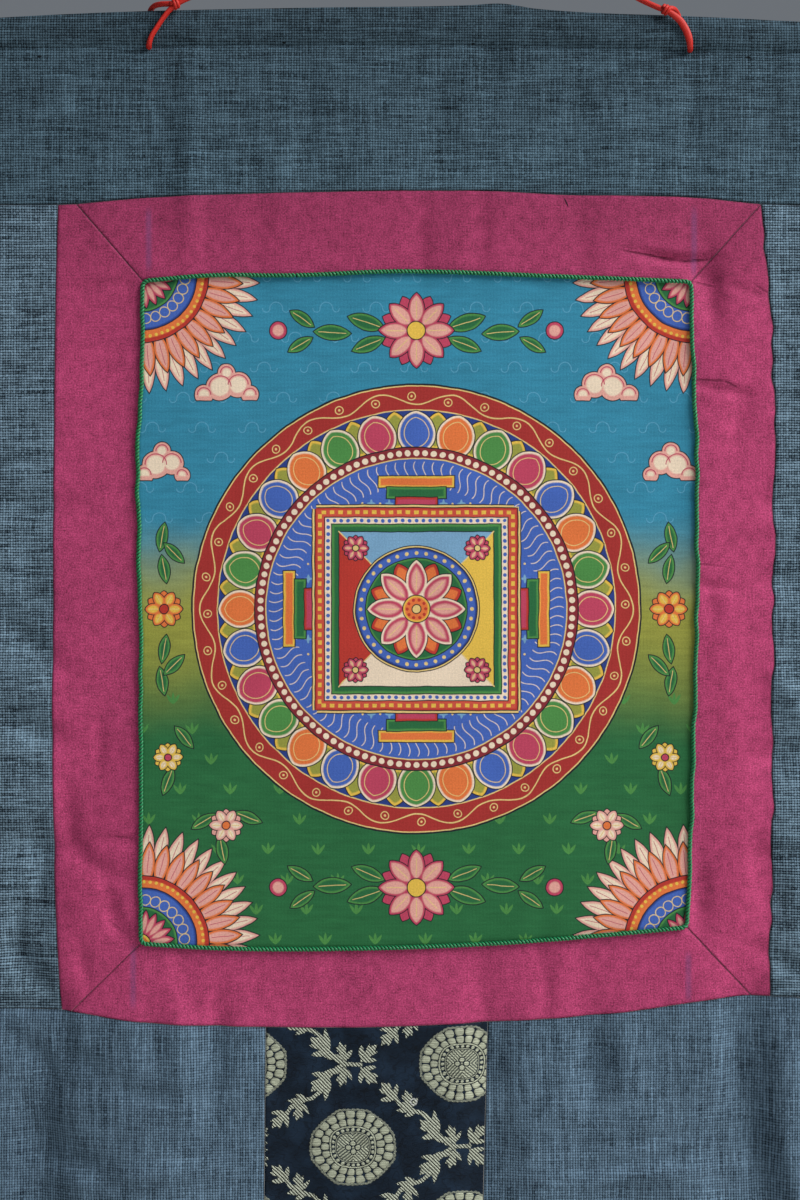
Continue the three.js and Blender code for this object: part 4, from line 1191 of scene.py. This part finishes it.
# Each panel: its lower, upper, left and right edges, its cloth, and the sides that are hems
PANELS = {
    "cloth_side_left": ((
        across(base_seam, left_hem(seam_left), PINK_BOTTOM_LEFT),
        across(header_seam, HEM_LEFT, PINK_TOP_LEFT),
        upward(left_hem, seam_left, header_seam(HEM_LEFT)),
        pink_left_edge,
    ), GREY_SIDE, ("left",)),
    "cloth_side_right": ((
        across(base_seam, PINK_BOTTOM_RIGHT, right_hem(seam_right)),
        across(header_seam, MITRE_TOP_RIGHT, HEM_RIGHT),
        pink_right_edge,
        upward(right_hem, seam_right, header_seam(HEM_RIGHT)),
    ), GREY_SIDE, ("right",)),
    "cloth_base_left": ((
        across(bottom_hem, FOOT_LEFT, FOOT_DOOR_LEFT),
        across(base_seam, left_hem(seam_left), DOOR_TOP_LEFT),
        upward(left_hem, bottom_hem(FOOT_LEFT), seam_left),
        door_left_edge,
    ), GREY_BASE, ("left", "bottom")),
    "cloth_base_right": ((
        across(bottom_hem, FOOT_DOOR_RIGHT, FOOT_RIGHT),
        across(base_seam, DOOR_TOP_RIGHT, right_hem(seam_right)),
        door_right_edge,
        upward(right_hem, bottom_hem(FOOT_RIGHT), seam_right),
    ), GREY_BASE, ("right", "bottom")),
    "cloth_door": ((
        across(bottom_hem, FOOT_DOOR_LEFT, FOOT_DOOR_RIGHT),
        across(base_seam, DOOR_TOP_LEFT, DOOR_TOP_RIGHT),
        door_left_edge,
        door_right_edge,
    ), (DOOR_CELL, brocade, "brocade"), ("bottom",)),
    "cloth_border_top": ((
        painting_head,
        across(header_seam, MITRE_TOP_LEFT, MITRE_TOP_RIGHT),
        mitre_top_left,
        mitre_top_right,
    ), PINK, ()),
    "cloth_border_bottom": ((
        across(base_seam, MITRE_BOTTOM_LEFT, MITRE_BOTTOM_RIGHT),
        painting_foot,
        straight(outer_bottom_left, BOTTOM_LEFT),
        straight(outer_bottom_right, BOTTOM_RIGHT),
    ), PINK, ()),
    "cloth_border_left": ((
        straight(outer_bottom_left, BOTTOM_LEFT),
        straight(outer_top_left, TOP_LEFT),
        chain(
            (CORNER_SHARE, across(base_seam, MITRE_BOTTOM_LEFT, PINK_BOTTOM_LEFT)),
            (1 - CORNER_SHARE, pink_left_edge),
            (1, across(header_seam, PINK_TOP_LEFT, MITRE_TOP_LEFT)),
        ),
        painting_left_edge,
    ), PINK, ()),
    "cloth_border_right": ((
        straight(BOTTOM_RIGHT, outer_bottom_right),
        mitre_top_right,
        painting_right_edge,
        chain(
            (CORNER_SHARE, across(base_seam, MITRE_BOTTOM_RIGHT, PINK_BOTTOM_RIGHT)),
            (1, pink_right_edge),
        ),
    ), PINK, ()),
    "cloth_painting": (
        (painting_foot, painting_head, painting_left_edge, painting_right_edge),
        (CANVAS_CELL, canvas[0], "painted_canvas"), (),
    ),
}
for panel_name, (edges, fabric, hems) in PANELS.items():
    cloth_sheet(panel_name, edges, *fabric, hems)
wear_canvas(bpy.data.objects["cloth_painting"])

# Header: one cloth, its top turned over into a pocket and stitched down under the holes
POCKET = curve((0, 0.5), (0.03, 0.95), (0.1, 1.6), (0.24, 2.3), (0.5, 2.8), (0.78, 2.4), (0.93, 1.5),
               (1, 1))
HEADER_THICK = 0.6
POCKET_STEPS = 18
BELOW_POCKET = 80
HOLES = [(-133.5, -83.5), (137, -84.9)]
HOLE_RADIUS = 1.75
HOLE_REACH = 7


def header_mesh():
    """A strip of cloth that goes up the front, over the top and down the back of the pocket."""
    x = np.sort(np.concatenate([
        HEM_LEFT + spacing(HEM_RIGHT - HEM_LEFT, CELL),
        [hole[0] for hole in HOLES],
    ]))
    seam, stitch, top = header_seam(x) + SEAM_GAP / 2, pocket_stitch(x), top_edge(x)
    lower = spacing(BELOW_POCKET, CELL)[:-2] / BELOW_POCKET
    rise = 0.5 - 0.5 * np.cos(math.pi * np.linspace(0, 1, POCKET_STEPS + 1))
    rows, dark = [], []
    for share in lower:
        z = seam + (stitch - seam) * share
        away = z - seam
        crease = 0.35 * np.exp(-((stitch - z) / 2.5) ** 2)
        y = relief(x, z) + wrinkles(x, z) - FRONT + rolled(away) + crease
        rows.append(np.stack([x, y, z], -1))
        # Painted shade in the crevice of the seam below.
        dark.append(SEAM_SHADE * in_crevice(away))
    for side in (-1, 1):
        for share in rise if side < 0 else rise[::-1][1:]:
            z = stitch + (top - stitch) * share
            y = side * POCKET(share) + wrinkles(x, z) * (0.6 if side < 0 else 0.2)
            rows.append(np.stack([x, np.where(share == 1, 0, y), z], -1))
            dark.append(np.zeros(x.shape))
    outer = np.array(rows)
    for at_x, at_z in HOLES:
        dx, dz = outer[..., 0] - at_x, outer[..., 2] - at_z
        away = np.hypot(dx, dz)
        near = (away < HOLE_REACH) & (outer[..., 1] < 0) & (away > 1e-6)
        pushed = HOLE_RADIUS + away * (1 - HOLE_RADIUS / HOLE_REACH)
        shift = np.where(near, pushed / np.maximum(away, 1e-6), 1)
        outer[..., 0], outer[..., 2] = at_x + dx * shift, at_z + dz * shift
    along, up = np.gradient(outer, axis=1), np.gradient(outer, axis=0)
    inward = np.cross(up, along)
    inward /= np.linalg.norm(inward, axis=-1, keepdims=True)
    inner = outer + inward * HEADER_THICK
    return closed_sheet(outer, inner), np.array(dark)


header_shape, header_crevice_shade = header_mesh()
new_piece("cloth_header", *header_shape, shaded_grey_header, "grey_cloth", crevice=header_crevice_shade)


# Piping: two plies twisted together, once round the painting
JOINT_X, JOINT_GAP = -60, 0.3
PIPING_CORNER = 2.4
PLY_RADIUS = 0.62
PLY_OFFSET = 0.6
PLY_PITCH = 3.6
PLY_SIDES = 8
PLY_STEPS = 9


def piping_route():
    """Points on the seam between the canvas and the pink cloth, from the joint round to it."""
    turn, pull = PIPING_CORNER, PIPING_CORNER * (1 - math.sqrt(0.5))
    (left, roof), (right, roof_right) = TOP_LEFT, TOP_RIGHT
    (foot_left, foot), (foot_right, foot_end) = BOTTOM_LEFT, BOTTOM_RIGHT
    runs = [
        (60, across(painting_top, JOINT_X + JOINT_GAP, right - turn), (right - pull, roof_right - pull)),
        (100, upward(painting_right, roof_right - turn, foot_end + turn),
         (foot_right - pull, foot_end + pull)),
        (90, across(painting_bottom, foot_right - turn, foot_left + turn),
         (foot_left + pull, foot + pull)),
        (100, upward(painting_left, foot + turn, roof - turn), (left + pull, roof - pull)),
        (30, across(painting_top, left + turn, JOINT_X - JOINT_GAP), None),
    ]
    flat = []
    for number, edge, corner in runs:
        flat.append(edge(np.linspace(0, 1, number)))
        if corner is not None:
            flat.append([corner])
    flat = np.concatenate(flat)
    x, z = flat[:, 0], flat[:, 1]
    lift = FRONT + PLY_OFFSET + PLY_RADIUS - 0.1
    return np.stack([x, relief(x, z) + wrinkles(x, z) - lift, z], -1)


def evenly(path, step):
    """The same path in even steps."""
    gone = np.concatenate([[0], np.cumsum(np.linalg.norm(np.diff(path, axis=0), axis=1))])
    at = np.linspace(0, gone[-1], round(gone[-1] / step) + 1)
    return np.stack([np.interp(at, gone, path[:, k]) for k in range(3)], -1), at


def piping_mesh():
    path, at = evenly(piping_route(), PLY_PITCH / PLY_STEPS)
    _, side, lift = frames_along(path)
    plies = []
    for start in (0, math.pi):
        turn = (FULL_TURN * at / PLY_PITCH + start)[:, None]
        ply = path + PLY_OFFSET * (np.cos(turn) * side + np.sin(turn) * lift)
        points, faces, threads = tube(ply, PLY_RADIUS, PLY_RADIUS, PLY_SIDES)
        out = np.linalg.norm(points - np.repeat(path, PLY_SIDES, axis=0), axis=1)
        # The shader paints shade into the groove between the plies and a highlight on their crests, so it
        # needs how far out a point lies.
        threads[:, 2] = out / (PLY_OFFSET + PLY_RADIUS)
        plies.append((points, faces, threads))
    return merged(plies)


green_piping = new_tube("green_piping", piping_mesh(), green, "green_cord")


# Satin cord: one length, from its left knot round the pocket, back up, over the nail and on
LEFT_LOOP = [
    (-120, -3.6, -62.6), (-123.6, -3.5, -62.9), (-127.5, -2.1, -62.7), (-131, 0.4, -63),
    (-133.2, 3.1, -64.8), (-133.9, 4.5, -68.4), (-134, 4.6, -73.5), (-133.7, 4.6, -78.9),
    (-133.5, 3.3, -82.4), (-133.5, 0, -83.5), (-133.2, -2.6, -82.6), (-131.9, -4, -79.3),
    (-129.2, -4.3, -75), (-126.2, -4.4, -70.6), (-122.9, -4.5, -66.4), (-120, -4.3, -63.9),
]
HANGER = [
    (-116.9, -4, -61.7), (-108, -3.4, -57.4), (-88, -2.3, -47), (-66, -1.4, -34.9),
    (-44, -0.7, -22.6), (-24, -0.3, -11.6), (-12, 0, -4.8), (-5, 0, 0.1), (0, 0, 1.4),
    (5, 0, 0.1), (12, 0, -4.8), (24, -0.3, -11.8), (44, -0.7, -23), (66, -1.4, -35.4),
    (88, -2.3, -47.6), (104, -3, -56.3), (112, -3.5, -60.8), (120.9, -4, -65),
]
RIGHT_LOOP = [
    (124.3, -3.8, -65.8), (126.3, -3.4, -65.2), (128, -1.9, -64.9), (129.6, 0.6, -65),
    (131.4, 3.2, -66.8), (133.2, 4.5, -70.4), (135, 4.6, -75), (136.6, 4.6, -80.3),
    (137, 3.3, -83.8), (137, 0, -84.9), (136.7, -2.6, -84), (136, -4, -80.3),
    (134.4, -4.2, -76), (131.6, -4.3, -71.6), (127.6, -4.5, -68.2), (124.3, -4.4, -66.6),
]
CORD_STEPS = 8
# Where it is pressed flatter, counted in points of the route, and its half width and half depth there
FLAT_FROM_START, FLAT_FROM_END, FLAT_REACH = 12.2, 3.8, 1.9
FLAT_WIDE, FLAT_DEEP = 1.9, 0.95


def cord_mesh():
    """The cord's tube, pressed flatter where it lies up the front of the pocket."""
    points = LEFT_LOOP + HANGER + RIGHT_LOOP
    path = smooth_path(points, CORD_STEPS)
    at_point = np.arange(len(path)) / CORD_STEPS
    flat = 0
    for middle in FLAT_FROM_START, len(points) - FLAT_FROM_END:
        flat = flat + np.exp(-(((at_point - middle) / FLAT_REACH) ** 4))
    radius = CORD_DIAMETER / 2
    wide = radius + (FLAT_WIDE - radius) * flat
    deep = radius + (FLAT_DEEP - radius) * flat
    return path, tube(path, wide, deep, 14)


cord_path, cord_shape = cord_mesh()
satin_cord = new_tube("satin_cord", cord_shape, red, "red_cord")

KNOTS = {
    "wrapped_knot_left": ((-120, -4.2, -63.3), 28),
    "wrapped_knot_right": ((124.3, -4.2, -66), -26),
}
KNOT_TURNS, KNOT_LONG = 2.15, 3.1
CORE_HALF, CORE_RADIUS = 2.6, 1.35


def knot_mesh(centre, lean):
    """Two turns of the cord wound tight over themselves, and a core that they close on."""
    share = np.linspace(0, 1, 64)
    turn = FULL_TURN * KNOT_TURNS * share
    swell = 1.55 + 0.35 * np.sin(math.pi * share)
    coil = np.stack([KNOT_LONG * (share - 0.5), -swell * np.cos(turn), swell * np.sin(turn)], -1)
    core = np.linspace((-CORE_HALF, 0, 0), (CORE_HALF, 0, 0), 16)
    fat = CORE_RADIUS * np.sqrt(np.clip(1 - (core[:, 0] / 2.75) ** 2, 0.05, 1))
    points, faces, threads = merged([tube(coil, 1.05, 0.85, 10), tube(core, fat, fat, 12)])
    lean = math.radians(lean)
    x, y, z = points.T
    leaning = np.stack([x * math.cos(lean) - z * math.sin(lean), y,
                        x * math.sin(lean) + z * math.cos(lean)], -1)
    return leaning + centre, faces, threads


for knot_name, (knot_at, knot_lean) in KNOTS.items():
    new_tube(knot_name, knot_mesh(knot_at, knot_lean), red, "red_cord")


# Hides the CAD parts that the pieces stand for, and lists the real sizes of the cloth
MITRED_SHARE = 0.9
# Width and height in mm, and how much of that the cloth's area is
SHEETS = {
    "header": (500, 118, 1),
    "side_left": (71, 404, 1),
    "side_right": (78, 402, 1),
    "base_left": (175, 226, 1),
    "base_right": (219, 230, 1),
    "door": (109, 217, 1),
    "border_top": (343, 43, MITRED_SHARE),
    "border_bottom": (341, 43, MITRED_SHARE),
    "border_left": (43, 405, MITRED_SHARE),
    "border_right": (41, 401, MITRED_SHARE),
    "painting": (276, 334, 1),
}
for node, (wide, tall, share) in SHEETS.items():
    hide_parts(node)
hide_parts("piping")
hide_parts("hanging_cord", "cord_loop_left", "cord_loop_right")
for knot_name, node in zip(KNOTS, ("knot_left", "knot_right")):
    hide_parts(node)
(cord_path[0] * MM).tolist()
(cord_path * MM).tolist()


# Floor, light and world
def area_light(name, at, towards, size, power, tint):
    data = bpy.data.lights.new(name, "AREA")
    data.shape = "RECTANGLE"
    data.size, data.size_y = size
    data.energy = power
    data.color = tint
    light = bpy.data.objects.new(name, data)
    light.location = at
    light.rotation_euler = (Vector(towards) - Vector(at)).to_track_quat("-Z", "Y").to_euler()
    bpy.context.scene.collection.objects.link(light)


# In metres and watts
FLOOR_HALF, FLOOR_Z = 3, -1.1
FLOOR_TINT, SKY_TINT, SKY_STRENGTH = rgb(216, 214, 208), rgb(196, 204, 214), 0.27
LIGHTS = [
    ("key", (2.4, -1.05, 1.8), (0, 0, -0.4), (2.3, 2.3), 222, (1, 0.985, 0.96)),
    ("fill", (-0.15, -1.25, -1.1), (0, 0, -0.45), (1.2, 0.9), 2.6, (0.93, 0.97, 1)),
]

floor_mesh = bpy.data.meshes.new("floor")
floor_corners = [(x * FLOOR_HALF, y * FLOOR_HALF, FLOOR_Z) for x, y in ((-1, -1), (1, -1), (1, 1), (-1, 1))]
floor_mesh.from_pydata(floor_corners, [], [(0, 1, 2, 3)])
floor_mesh.materials.append(Surface("floor").finish(Base_Color=FLOOR_TINT, Roughness=0.9))
floor = bpy.data.objects.new("floor", floor_mesh)
bpy.context.scene.collection.objects.link(floor)

world = bpy.data.worlds.new("world")
world.use_nodes = True
background = world.node_tree.nodes["Background"]
background.inputs["Color"].default_value = SKY_TINT
background.inputs["Strength"].default_value = SKY_STRENGTH
bpy.context.scene.world = world
for settings in LIGHTS:
    area_light(*settings)
bpy.context.scene.view_settings.view_transform = "Standard"
